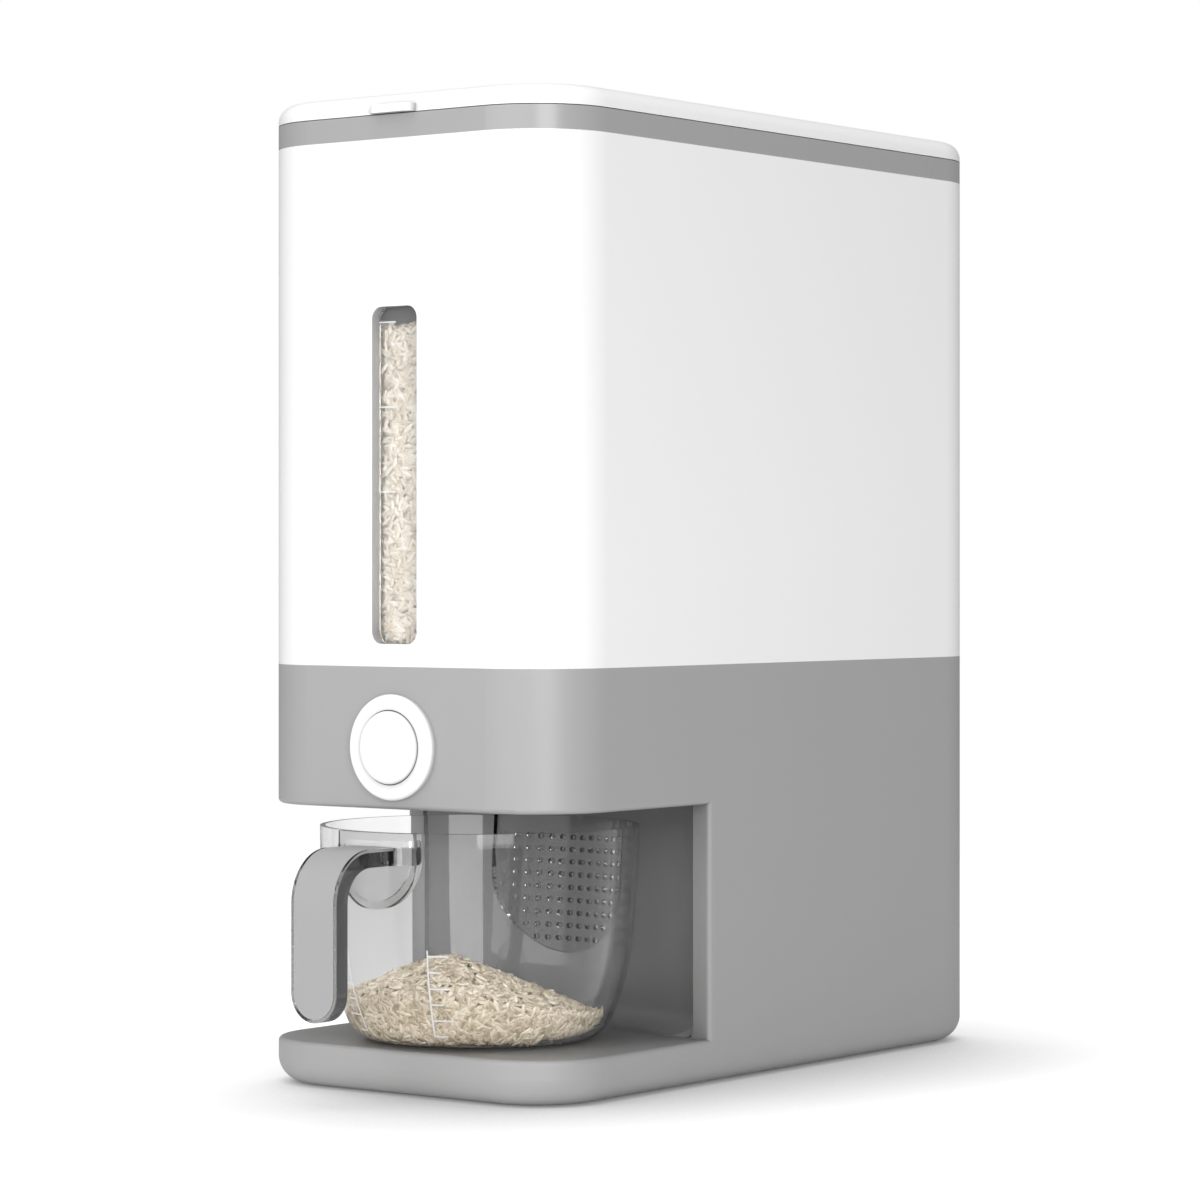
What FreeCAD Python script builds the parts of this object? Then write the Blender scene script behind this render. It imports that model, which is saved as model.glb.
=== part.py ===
import FreeCAD, Part
import math
import operator
import os

import Sketcher
from FreeCAD import Placement, Rotation, Vector

# A countertop rice dispenser: a tall white bin on a grey base whose open bay holds a measuring cup.
# A push button in the band above the bay slides a gate from under the hopper's throat.
# X is the width, the front faces -Y and Z is up. The origin is on the base's underside,
# in the middle of the body's plan. Every length is in millimetres.

os.makedirs("parts", exist_ok=True)
doc = FreeCAD.newDocument("rice_dispenser")

# ---------------------------------------------------------------- driving dimensions

DIMENSIONS = [
    # the body's outline
    ("width", 147.0, "body, left to right"),
    ("depth", 294.0, "body, front to rear"),
    ("corner_radius", 31.0, "upright corners in plan"),
    ("wall", 2.5, "moulded walls of base and bin"),
    ("under_radius", 10.0, "rounded edge under the base"),
    ("bay_floor", 17.0, "top of the tray that the cup stands on"),
    ("bay_height", 88.2, "tray to the underside of the band"),
    ("bay_depth", 96.0, "front face to the column's face"),
    ("bay_edge", 1.8, "rounded outer edges of the bay"),
    ("band_height", 52.3, "band between the bay and the bin"),
    ("bin_height", 193.7, "white bin shell"),
    ("collar_height", 8.8, "collar on top of the bin"),
    ("lid_height", 7.7, "lid above its joint with the collar"),
    ("lid_edge_radius", 6.5, "rounded top edge of the lid"),
    # gaps
    ("play", 0.3, "gap beside whatever moves or is pushed into place"),
    ("running", 0.05, "gap around a turning pin"),
    ("fit", 0.1, "gap round a piece pressed into a hole"),
    ("slack", 0.2, "gap round a piece laid in its place"),
    # the alcove behind the cup
    ("frame_edge", 7.8, "column face left beside the alcove"),
    ("frame_corner", 3.0, "lower corners of the alcove's opening"),
    ("alcove_sag", 19.1, "depth of the alcove's arc"),
    ("alcove_sweep", 8.6, "curve from the alcove's wall to its floor"),
    ("liner_wall", 2.0, "wall of the alcove's moulding"),
    # underside
    ("cover_inset", 14.0, "edge of the bottom opening, from the outline"),
    ("foot_radius", 8.0, "anti-slip pads"),
    ("foot_thickness", 1.5, "anti-slip pads"),
    ("foot_across", 80.0, "pads, left to right"),
    ("foot_along", 196.0, "pads, front to rear"),
    ("ledge", 2.0, "step in the bottom opening that the cover lies in"),
    ("ledge_depth", 1.2, "step in the bottom opening that the cover lies in"),
    ("cover_hook_along", 88.0, "from one hook of the cover to the next"),
    # snap hooks
    ("hook", 1.5, "thickness of a hook"),
    ("hook_width", 8.0, "hooks, front to rear"),
    ("hook_lip", 1.2, "how far a hook catches over an edge"),
    ("hook_height", 2.2, "head of a hook"),
    # bin and window
    ("tongue", 1.5, "thickness of the bin's locating tongue"),
    ("tongue_depth", 3.0, "tongue below the seam"),
    ("deck_drop", 1.0, "tongue's lower end to the base's deck"),
    ("window_width", 21.3, "slot in the bin's front"),
    ("window_height", 123.8, "slot in the bin's front"),
    ("window_rise", 8.3, "seam to the slot's lower end"),
    ("window_corner", 4.5, "corners of the slot"),
    ("window_rim", 1.5, "rim behind the slot"),
    ("window_rim_depth", 3.0, "rim behind the slot"),
    ("pane", 1.5, "thickness of the window's pane"),
    # hopper and gate
    ("outlet_setback", 31.0, "front face to the outlet's centre"),
    ("outlet_width", 18.0, "outlet, left to right"),
    ("outlet_length", 8.0, "outlet, front to rear"),
    ("gate_lap", 1.0, "how far the shut gate overlaps the outlet"),
    ("plate", 2.0, "gate, tray and cover plates"),
    ("throat_rise", 27.8, "underside of the band to the throat's top"),
    ("throat_wall", 2.0, "wall of the throat"),
    ("nozzle_wall", 1.5, "wall of the nozzle"),
    ("gasket", 1.7, "seal under the throat"),
    ("gasket_collar", 5.7, "socket that the throat stands in"),
    ("hopper_skin", 3.0, "hopper walls, measured upright"),
    ("hopper_front_rise", 6.3, "seam to the hopper's front edge"),
    ("hopper_rear_slope", 0.445, "rise over run of the hopper's floor behind the throat"),
    ("hopper_side_slope", 0.82, "rise over run of the hopper's sides"),
    ("hopper_rib", 2.5, "upright ribs under the hopper"),
    ("hopper_rib_side", 23.5, "body's side to the middle of a rib"),
    ("hopper_rib_inset", 5.0, "ends of the ribs, from the column's face and the rear wall"),
    ("slider_half", 20.0, "half the width of the gate's plate"),
    ("rail", 3.7, "guide rails beside the gate"),
    ("cover_half", 32.0, "half the width of the gate's cover"),
    ("gate_tail", 22.0, "gate behind the outlet"),
    ("gate_cover_tail", 27.0, "gate's cover behind the outlet"),
    ("gate_hook_inset", 8.0, "hooks from the ends of the gate's cover"),
    # button
    ("button_rise", 22.8, "underside of the band to the button's centre"),
    ("bezel_sleeve", 2.2, "wall of the bezel's sleeve"),
    ("bezel_flange", 3.5, "bezel round its sleeve"),
    ("bezel_proud", 3.0, "bezel in front of the wall"),
    ("bezel_depth", 7.0, "sleeve behind the front face"),
    ("cap_radius", 13.5, "button cap"),
    ("cap_proud", 2.6, "middle of the cap in front of the bezel"),
    ("cap_crown", 0.8, "dome of the cap"),
    ("cap_edge", 1.8, "rounded edge of the cap"),
    ("cap_wall", 1.8, "wall of the cap"),
    ("cap_skirt", 6.0, "front face to the rear edge of the cap's wall"),
    ("cap_boss", 3.5, "boss behind the cap"),
    ("cap_peg", 2.2, "peg of the boss, pressed through the gate's leg"),
    ("bezel_edge", 1.3, "rounded outer edge of the bezel"),
    ("boss_end", 8.0, "front face to the rear end of the cap's boss"),
    ("leg_half", 21.5, "half the width of the gate's upright leg"),
    ("leg_neck", 7.0, "half the width of the leg behind the cap"),
    ("spring_at", 17.0, "springs, from the middle"),
    ("spring_radius", 2.8, "middle of the coils"),
    ("wire_radius", 0.4, "spring wire"),
    ("spring_turns", 4.0, "turns of each spring"),
    ("spring_length", 20.0, "gate's leg to the spring's seat"),
    ("spring_lift", 0.7, "gate's cover to the underside of the coils"),
    ("gate_stop", 0.5, "gate's leg to the cover's edge when the button is pressed"),
    # collar, hinge and lid
    ("collar_land", 14.0, "width of the collar"),
    ("skirt", 2.0, "collar's skirt inside the bin"),
    ("skirt_depth", 6.2, "collar's skirt inside the bin"),
    ("lid_skin", 2.2, "wall of the lid"),
    ("lid_inside_edge", 2.6, "sloped edge inside the lid"),
    ("hinge_inset", 6.6, "rear face to the hinge's axis"),
    ("hinge_radius", 3.0, "outside of lugs and knuckles"),
    ("hinge_drop", 4.9, "well in the collar under the hinge"),
    ("well_front", 5.6, "hinge's axis to the front of the well"),
    ("well_reach", 20.0, "ends of the well past the start of the round corners"),
    ("pin_radius", 1.5, "hinge pins"),
    ("lug_at", 33.0, "lugs, from the middle"),
    ("lug_width", 6.0, "lugs, left to right"),
    ("knuckle_width", 4.0, "knuckles on the lid"),
    ("tab_width", 20.0, "lift tab on the lid"),
    ("tab_proud", 4.0, "lift tab in front of the lid"),
    ("tab_height", 3.0, "lift tab on the lid"),
    ("tab_corner", 3.5, "corners of the lift tab"),
    ("plug_inset", 16.5, "outline to the liner's side"),
    ("plug_depth", 3.0, "liner below the lid's joint"),
    ("liner_skin", 2.0, "wall of the liner"),
    ("seal_gap", 0.4, "seal to the collar"),
    ("seal_height", 2.0, "seal"),
    # measuring cup
    ("cup_radius", 60.0, "outside of the cup's rim"),
    ("cup_wall", 2.0, "wall of the cup"),
    ("cup_headroom", 7.8, "cup's rim to the underside of the band"),
    ("cup_rear_gap", 7.5, "cup's rim to the alcove"),
    ("cup_waist", 32.7, "height at which the lower wall begins"),
    ("cup_heel", 6.7, "height at which the rounded heel begins"),
    ("cup_waist_lean", 7.3, "lean of the wall at the waist, degrees"),
    ("cup_heel_lean", 25.0, "lean of the wall at the heel, degrees"),
    ("strainer_half", 32.0, "half the width of the strainer"),
    ("strainer_rise", 27.7, "cup's base to the strainer's lower end"),
    ("hole_radius", 1.0, "holes of the strainer"),
    ("hole_drop", 8.0, "cup's rim to the top row of holes"),
    ("hole_pitch", 4.9, "one row of holes to the next"),
    ("strainer_flats", 75.0, "flats in a full turn of the strainer, one for each column of holes"),
    ("strainer_lean", 4.1, "lean of the strainer, degrees"),
    ("strainer_shift", 0.4, "strainer moved out, so that it follows the cup's curved wall"),
    ("handle_reach", 35.0, "cup's rim to the handle's outer face"),
    ("handle_half", 10.5, "half the width of the handle"),
    ("handle_thickness", 6.5, "strap of the handle"),
    ("handle_bend", 19.0, "outside of the handle's bend"),
    ("handle_drop", 5.0, "cup's rim to the handle's top"),
    ("handle_length", 61.4, "handle's top to its lower end"),
    ("root_half", 18.6, "half the width of the handle's root"),
    ("root_depth", 23.0, "handle's top to the root's lower end"),
    ("root_proud", 1.0, "root plate on the cup's wall"),
    ("root_rim", 2.8, "width of the rim round the root plate"),
    ("root_rim_proud", 2.5, "rim round the root plate, on the cup's wall"),
    ("inlay", 1.2, "thickness of the handle's inlay"),
    ("inlay_margin", 1.2, "handle left round the inlay"),
]

sheet = doc.addObject("Spreadsheet::Sheet", "Dims")
for row, (alias, value, note) in enumerate(DIMENSIONS, start=1):
    sheet.set(f"A{row}", alias)
    sheet.set(f"B{row}", str(value))
    sheet.setAlias(f"B{row}", alias)
    sheet.set(f"C{row}", note)
doc.recompute()


class Size:
    """A number of the model, and the spreadsheet formula that gives it."""

    def __init__(self, value, formula):
        self.value = value
        self.formula = formula

    def joined(self, other, sign, work):
        other = as_size(other)
        formula = f"({self.formula} {sign} {other.formula})"
        return Size(work(self.value, other.value), formula)

    def __add__(self, other):
        return self.joined(other, "+", operator.add)

    def __radd__(self, other):
        return as_size(other) + self

    def __sub__(self, other):
        return self.joined(other, "-", operator.sub)

    def __rsub__(self, other):
        return as_size(other) - self

    def __mul__(self, other):
        return self.joined(other, "*", operator.mul)

    def __rmul__(self, other):
        return as_size(other) * self

    def __truediv__(self, other):
        return self.joined(other, "/", operator.truediv)

    def __rtruediv__(self, other):
        return as_size(other) / self

    def __neg__(self):
        return as_size(0.0) - self


def as_size(number):
    """A plain number as a Size, and a Size as it is."""
    if isinstance(number, Size):
        return number
    text = repr(float(number))
    return Size(float(number), text if number >= 0 else f"({text})")


def root(size):
    return Size(math.sqrt(size.value), f"sqrt({size.formula})")


def sine(degrees):
    return Size(math.sin(math.radians(degrees.value)), f"sin({degrees.formula})")


def cosine(degrees):
    return Size(math.cos(math.radians(degrees.value)), f"cos({degrees.formula})")


D = {alias: Size(float(value), f"Dims.{alias}") for alias, value, note in DIMENSIONS}

# ---------------------------------------------------------------- levels and places

half_width = D["width"] / 2
half_depth = D["depth"] / 2
front = -half_depth
bay_floor = D["bay_floor"]
bay_top = bay_floor + D["bay_height"]
seam = bay_top + D["band_height"]
bin_top = seam + D["bin_height"]
collar_top = bin_top + D["collar_height"]
lid_bottom = collar_top + D["play"]
lid_top = lid_bottom + D["lid_height"]
wall = D["wall"]
play = D["play"]
column_face = front + D["bay_depth"]
column_inner = column_face + wall
deck_top = seam - D["tongue_depth"] - D["deck_drop"]
deck_bottom = deck_top - wall
alcove_half = half_width - D["frame_edge"]
alcove_sag = D["alcove_sag"]
alcove_radius = (alcove_half * alcove_half + alcove_sag * alcove_sag) / (2 * alcove_sag)
alcove_centre = column_inner + alcove_sag - alcove_radius
outlet = front + D["outlet_setback"]
outlet_half = D["outlet_width"] / 2
outlet_front = outlet - D["outlet_length"] / 2
outlet_rear = outlet + D["outlet_length"] / 2
travel = D["outlet_length"] + D["gate_lap"]
plate = D["plate"]
tray_bottom = bay_top + wall
tray_top = tray_bottom + plate
slider_bottom = tray_top + play
slider_top = slider_bottom + plate
gate_cover_bottom = slider_top + play
gate_cover_top = gate_cover_bottom + plate
throat_bottom = gate_cover_top + D["gasket"]
throat_top = bay_top + D["throat_rise"]
hopper_edge = half_depth - wall - play
hopper_rear = throat_top + D["hopper_rear_slope"] * (hopper_edge - outlet_rear)
leg_front = front + D["boss_end"]
leg_rear = leg_front + plate
gate_cover_front = leg_rear + travel + D["gate_stop"]
gate_cover_rear = outlet_rear + D["gate_cover_tail"]
slider_rear = outlet_rear + D["gate_tail"]
gate_tray_rear = slider_rear + travel + plate
gate_hook_places = [
    gate_cover_front + D["gate_hook_inset"],
    gate_cover_rear - D["gate_hook_inset"],
]
button_height = bay_top + D["button_rise"]
sleeve_radius = D["cap_radius"] + play + D["bezel_sleeve"]
spring_height = gate_cover_top + D["spring_radius"] + D["wire_radius"] + D["spring_lift"]
spring_seat = leg_rear + D["spring_length"]
hinge_y = half_depth - D["hinge_inset"]
hinge_z = lid_top - D["lid_skin"] - play - D["hinge_radius"]
well_floor = collar_top - D["hinge_drop"]
cup_base = bay_floor + play
cup_height = bay_top - D["cup_headroom"] - cup_base
cup_centre = column_inner + alcove_sag - D["cup_rear_gap"] - D["cup_radius"]
handle_top = cup_base + cup_height - D["handle_drop"]
handle_face = cup_centre - D["cup_radius"] - D["handle_reach"]
cover_edge = half_width - D["cover_inset"] - D["slack"]
cover_hook_places = [step * D["cover_hook_along"] for step in (-1, 0, 1)]
foot_places = {
    "front_left": (-D["foot_across"] / 2, -D["foot_along"] / 2),
    "front_right": (D["foot_across"] / 2, -D["foot_along"] / 2),
    "rear_left": (-D["foot_across"] / 2, D["foot_along"] / 2),
    "rear_right": (D["foot_across"] / 2, D["foot_along"] / 2),
}

# ---------------------------------------------------------------- tools of the bench

PLANES = {"x": "YZ_Plane", "y": "XZ_Plane", "z": "XY_Plane"}
SIDES = {"left": -1, "right": 1}
PAST = 1.0  # how far a cutting shape passes the face that it cuts
SUNK = 1.0  # how far a fused shape reaches into what carries it
SAME = 1e-4  # heights closer than this are one height


def bind(thing, prop, size):
    """Tie one property of an object to the spreadsheet."""
    thing.setExpression(prop, as_size(size).formula)


def place(thing, x=0.0, y=0.0, z=0.0, turn=None):
    """Put an object at a place tied to the spreadsheet, turned first if a Rotation is given."""
    if turn is not None:
        thing.Placement = Placement(Vector(0, 0, 0), turn)
    bind(thing, "Placement.Base.x", x)
    bind(thing, "Placement.Base.y", y)
    bind(thing, "Placement.Base.z", z)
    return thing


def arc_between(start, end, radius):
    """The arc of a radius from start to end. Its centre is to the left for a positive radius."""
    middle = (start + end) / 2
    chord = end - start
    reach = math.sqrt(max(radius * radius - chord.Length**2 / 4, 0.0))
    left = Vector(-chord.y, chord.x, 0).normalize()
    centre = middle + left * math.copysign(reach, radius)
    first, last = (start, end) if radius > 0 else (end, start)
    from_angle = math.atan2(first.y - centre.y, first.x - centre.x)
    to_angle = math.atan2(last.y - centre.y, last.x - centre.x)
    if to_angle < from_angle:
        to_angle += 2 * math.pi
    circle = Part.Circle(centre, Vector(0, 0, 1), abs(radius))
    return Part.ArcOfCircle(circle, from_angle, to_angle)


def pin_point(sketch, edge, end, u, v):
    """Fix one end of an edge at (u, v)."""
    for kind, size in (("DistanceX", u), ("DistanceY", v)):
        size = as_size(size)
        number = sketch.addConstraint(Sketcher.Constraint(kind, -1, 1, edge, end, size.value))
        sketch.setExpression(f"Constraints[{number}]", size.formula)


def fix_radius(sketch, edge, size):
    """Fix the radius of an arc or a circle."""
    size = as_size(size)
    number = sketch.addConstraint(Sketcher.Constraint("Radius", edge, size.value))
    sketch.setExpression(f"Constraints[{number}]", size.formula)


def draw_outline(sketch, points):
    """Draw a closed outline, anticlockwise. A point is (u, v), or (u, v, radius) where the side
    that leaves it is an arc: positive bulges outwards, negative is hollow."""
    first = sketch.GeometryCount
    count = len(points)
    flat = [Vector(as_size(p[0]).value, as_size(p[1]).value, 0) for p in points]
    bends = [as_size(p[2]).value if len(p) > 2 else 0.0 for p in points]
    for i in range(count):
        start, end = flat[i], flat[(i + 1) % count]
        side = arc_between(start, end, bends[i]) if bends[i] else Part.LineSegment(start, end)
        sketch.addGeometry(side, False)
    heads = [2 if bend < 0 else 1 for bend in bends]
    for i in range(count):
        after = (i + 1) % count
        sketch.addConstraint(
            Sketcher.Constraint("Coincident", first + i, 3 - heads[i], first + after, heads[after])
        )
    for i, point in enumerate(points):
        pin_point(sketch, first + i, heads[i], point[0], point[1])
        if bends[i]:
            radius = as_size(point[2])
            fix_radius(sketch, first + i, radius if bends[i] > 0 else -radius)


def draw_circle(sketch, u, v, radius):
    """Draw a circle with its centre at (u, v)."""
    edge = sketch.GeometryCount
    centre = Vector(as_size(u).value, as_size(v).value, 0)
    sketch.addGeometry(Part.Circle(centre, Vector(0, 0, 1), as_size(radius).value), False)
    pin_point(sketch, edge, 3, u, v)
    fix_radius(sketch, edge, radius)


def new_sketch(body, name, normal, outlines, offset=0.0):
    """A sketch on the body's own plane that faces the axis `normal`, moved along it by offset.
    An outline is a list of points, or (u, v, radius) for a circle."""
    sketch = body.newObject("Sketcher::SketchObject", name)
    planes = [f for f in body.Origin.OriginFeatures if f.Role == PLANES[normal]]
    sketch.AttachmentSupport = [(planes[0], "")]
    sketch.MapMode = "FlatFace"
    bind(sketch, "AttachmentOffset.Base.z", offset)
    for outline in outlines:
        if isinstance(outline, tuple):
            draw_circle(sketch, *outline)
        else:
            draw_outline(sketch, outline)
    return sketch


def prism(name, normal, outlines, low, high):
    """A body whose outlines run from low to high along an axis. Outlines are (y, z) along x,
    (x, z) along y and (x, y) along z."""
    body = doc.addObject("PartDesign::Body", name)
    # the sketch plane that faces y looks towards -Y, so its offset is counted backwards
    offset = -as_size(high) if normal == "y" else low
    sketch = new_sketch(body, name + "_sketch", normal, outlines, offset)
    pad = body.newObject("PartDesign::Pad", name + "_pad")
    pad.Profile = sketch
    bind(pad, "Length", high - low)
    return body


def turned(name, normal, outline, axis):
    """A body turned right round one axis of its sketch, "V_Axis" or "H_Axis"."""
    body = doc.addObject("PartDesign::Body", name)
    sketch = new_sketch(body, name + "_sketch", normal, [outline])
    spin = body.newObject("PartDesign::Revolution", name + "_turn")
    spin.Profile = sketch
    spin.ReferenceAxis = (sketch, [axis])
    spin.Angle = 360.0
    return body


def round_edges(body, name, radius, wanted):
    """Round the edges of a body's last feature for which wanted(edge) is true."""
    doc.recompute()
    last = body.Tip
    names = [f"Edge{n}" for n, e in enumerate(last.Shape.Edges, start=1) if wanted(e)]
    fillet = body.newObject("PartDesign::Fillet", name)
    fillet.Base = (last, names)
    bind(fillet, "Radius", radius)
    return body


def chamfer_edges(body, name, size, wanted):
    """Cut the edges of a body's last feature for which wanted(edge) is true."""
    doc.recompute()
    last = body.Tip
    names = [f"Edge{n}" for n, e in enumerate(last.Shape.Edges, start=1) if wanted(e)]
    chamfer = body.newObject("PartDesign::Chamfer", name)
    chamfer.Base = (last, names)
    bind(chamfer, "Size", size)
    return body


def level_at(height):
    """A test for edges that lie flat at a height."""
    level = as_size(height).value
    return lambda edge: all(abs(v.Z - level) < SAME for v in edge.Vertexes)


def rounded(left, right, low, high, radius):
    """A rectangle with round corners."""
    return [
        (left + radius, low),
        (right - radius, low, radius),
        (right, low + radius),
        (right, high - radius, radius),
        (right - radius, high),
        (left + radius, high, radius),
        (left, high - radius),
        (left, low + radius, radius),
    ]


def rectangle(left, right, low, high):
    return [(left, low), (right, low), (right, high), (left, high)]


def plan(inset):
    """The body's plan outline, drawn in by inset."""
    x = half_width - inset
    y = half_depth - inset
    return rounded(-x, x, -y, y, D["corner_radius"] - inset)


def slab(name, inset, low, high):
    """A block of the body's own plan, drawn in by inset."""
    return prism(name, "z", [plan(inset)], low, high)


def ring(name, outer, inner, low, high):
    """An upright wall between two insets of the body's plan."""
    return prism(name, "z", [plan(outer), plan(inner)], low, high)


def box(name, left, right, near, far, low, high):
    block = doc.addObject("Part::Box", name)
    bind(block, "Length", right - left)
    bind(block, "Width", far - near)
    bind(block, "Height", high - low)
    return place(block, left, near, low)


def rod(name, radius, x, y, z, length, axis="z"):
    """A cylinder that runs from (x, y, z) along +Z, +Y or +X."""
    cylinder = doc.addObject("Part::Cylinder", name)
    bind(cylinder, "Radius", radius)
    bind(cylinder, "Height", length)
    turns = {
        "z": Rotation(),
        "y": Rotation(Vector(1, 0, 0), -90),
        "x": Rotation(Vector(0, 1, 0), 90),
    }
    return place(cylinder, x, y, z, turns[axis])


def fuse(name, *things):
    whole = doc.addObject("Part::MultiFuse", name)
    whole.Shapes = list(things)
    return whole


def common(name, *things):
    shared = doc.addObject("Part::MultiCommon", name)
    shared.Shapes = list(things)
    return shared


def cut(name, thing, *tools):
    """The thing with every tool taken out of it."""
    tool = tools[0] if len(tools) == 1 else fuse(name + "_tools", *tools)
    rest = doc.addObject("Part::Cut", name)
    rest.Base = thing
    rest.Tool = tool
    return rest


# ---------------------------------------------------------------- base


def pocket_through(body, name, outline):
    """Cut a (y, z) outline out of a body, from side to side."""
    sketch = new_sketch(body, name + "_sketch", "x", [outline], half_width + PAST)
    pocket = body.newObject("PartDesign::Pocket", name)
    pocket.Profile = sketch
    bind(pocket, "Length", D["width"] + 2 * PAST)
    return body


def on_bay_edge(edge):
    """True for the outer edges that the bay leaves: round the tray, the band and the column."""
    ends = [bay_floor.value, bay_top.value]
    flat = [z for z in ends if level_at(z)(edge)]
    face = column_face.value
    middle = edge.CenterOfMass
    if flat:
        return middle.y < face - PAST
    upright = edge.BoundBox.ZLength > D["bay_height"].value / 2
    return upright and abs(middle.y - face) < PAST


def base_shell():
    """The grey moulding: tray, column and band in one C, hollow and open underneath."""
    outer = slab("base_outer", 0.0, 0.0, seam)
    round_edges(outer, "base_under_edge", D["under_radius"], level_at(0.0))
    bay = rectangle(front - PAST, column_face, bay_floor, bay_top)
    pocket_through(outer, "bay", bay)
    round_edges(outer, "bay_rounding", D["bay_edge"], on_bay_edge)
    hollow = slab("base_hollow", wall, wall, seam + PAST)
    chamfer_edges(hollow, "hollow_under_edge", D["under_radius"] - 2 * wall, level_at(wall))
    shelf_end = column_inner + alcove_sag + D["liner_wall"] + play
    far = half_depth + PAST
    lower = [
        (-far, wall),
        (far, wall),
        (far, deck_bottom),
        (column_inner, deck_bottom),
        (column_inner, bay_top + wall),
        (shelf_end, bay_top + wall),
        (shelf_end, bay_top),
        (column_inner, bay_top),
        (column_inner, bay_floor - wall),
        (-far, bay_floor - wall),
    ]
    upper = [
        (-far, bay_top + wall),
        (column_face, bay_top + wall),
        (column_face, deck_top),
        (far, deck_top),
        (far, seam + PAST),
        (-far, seam + PAST),
    ]
    rooms = prism("base_rooms", "x", [lower, upper], -half_width, half_width)
    cavity = common("base_cavity", hollow, rooms)
    return cut("base_shell", outer, cavity)


def alcove_opening():
    """The opening in the column's face, with small corners at the tray."""
    corner = D["frame_corner"]
    outline = [
        (-alcove_half + corner, bay_floor),
        (alcove_half - corner, bay_floor, corner),
        (alcove_half, bay_floor + corner),
        (alcove_half, bay_top),
        (-alcove_half, bay_top),
        (-alcove_half, bay_floor + corner, corner),
    ]
    return prism("alcove_opening", "y", [outline], column_face - PAST, column_inner)


def snap_hook(name, face, lip, foot, seat, middle):
    """A springy upright hook whose lip catches over an edge at the height of seat. Its face
    stands at x = face, and lip is 1 or -1, the way that the lip points."""
    back = face - lip * D["hook"]
    tip = face + lip * D["hook_lip"]
    top = seat + D["hook_height"]
    outline = [
        (back, foot),
        (face, foot),
        (face, seat),
        (tip, seat),
        (tip, seat + D["hook_height"] / 3),
        (face, top),
        (back, top),
    ]
    half = D["hook_width"] / 2
    return prism(name, "y", [outline], middle - half, middle + half)


def gate_hooks():
    """Four hooks in the band's floor that hold the gate's cover, and the tray under it, down."""
    face = D["cover_half"] + D["slack"]
    foot = tray_bottom - wall / 2
    return [
        snap_hook(f"gate_hook_{name}_{n}", -side * face, side, foot, gate_cover_top, y)
        for name, side in SIDES.items()
        for n, y in enumerate(gate_hook_places)
    ]


def nozzle_outline(gap):
    """The nozzle's outside in plan, widened by a gap."""
    margin = D["nozzle_wall"] + gap
    x = outlet_half + margin
    return rectangle(-x, x, outlet_front - margin, outlet_rear + margin)


def base_housing():
    shell = cut(
        "base_opened",
        base_shell(),
        alcove_opening(),
        slab("bottom_opening", D["cover_inset"], -PAST, wall + PAST),
        slab("bottom_ledge", D["cover_inset"] - D["ledge"], -PAST, D["ledge_depth"]),
        prism(
            "nozzle_hole",
            "z",
            [nozzle_outline(D["fit"])],
            bay_top - PAST,
            tray_bottom + PAST,
        ),
        rod(
            "button_hole",
            sleeve_radius,
            0.0,
            front - PAST,
            button_height,
            wall + 2 * PAST,
            "y",
        ),
    )
    return fuse("base_housing", shell, *gate_hooks())


def bay_back():
    """The hollow wall behind the cup, with a swept floor edge, pushed in behind the column's face."""
    skin = D["liner_wall"]
    sweep = D["alcove_sweep"]
    inner = alcove_radius - alcove_sag - PAST
    profile = [
        (inner, bay_floor - skin),
        (alcove_radius - sweep, bay_floor - skin, sweep + skin),
        (alcove_radius + skin, bay_floor + sweep),
        (alcove_radius + skin, bay_top),
        (alcove_radius, bay_top),
        (alcove_radius, bay_floor + sweep, -sweep),
        (alcove_radius - sweep, bay_floor),
        (inner, bay_floor),
    ]
    bowl = turned("alcove_bowl", "x", profile, "V_Axis")
    place(bowl, 0.0, alcove_centre, 0.0)
    reach = half_width - wall - play
    keep = box(
        "alcove_keep", -reach, reach, column_inner, half_depth, bay_floor - 2 * skin, bay_top
    )
    return common("bay_back", bowl, keep)


def base_cover():
    """The plate that closes the underside: stepped edge, hooks along both sides, foot pockets."""
    gap = D["slack"]
    panel = slab("cover_panel", D["cover_inset"] + gap, 0.0, wall)
    flange = slab("cover_flange", D["cover_inset"] - D["ledge"] + gap, 0.0, D["ledge_depth"])
    hooks = [
        snap_hook(f"cover_hook_{name}_{n}", side * cover_edge, side, wall / 2, wall, y)
        for name, side in SIDES.items()
        for n, y in enumerate(cover_hook_places)
    ]
    depth = D["foot_thickness"]
    pockets = [
        rod(f"pad_pocket_{name}", D["foot_radius"] + gap, x, y, -PAST, depth + PAST)
        for name, (x, y) in foot_places.items()
    ]
    return cut("base_cover", fuse("cover_plate", panel, flange, *hooks), *pockets)


def foot_pads():
    """Four anti-slip pads, set flush in the cover."""
    return [
        rod(f"foot_{name}", D["foot_radius"], x, y, 0.0, D["foot_thickness"])
        for name, (x, y) in foot_places.items()
    ]


# ---------------------------------------------------------------- bin

window_half = D["window_width"] / 2
window_low = seam + D["window_rise"]
window_high = window_low + D["window_height"]


def window_outline(margin):
    """The window's slot, widened by a margin."""
    x = window_half + margin
    return rounded(
        -x, x, window_low - margin, window_high + margin, D["window_corner"] + margin
    )


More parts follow.
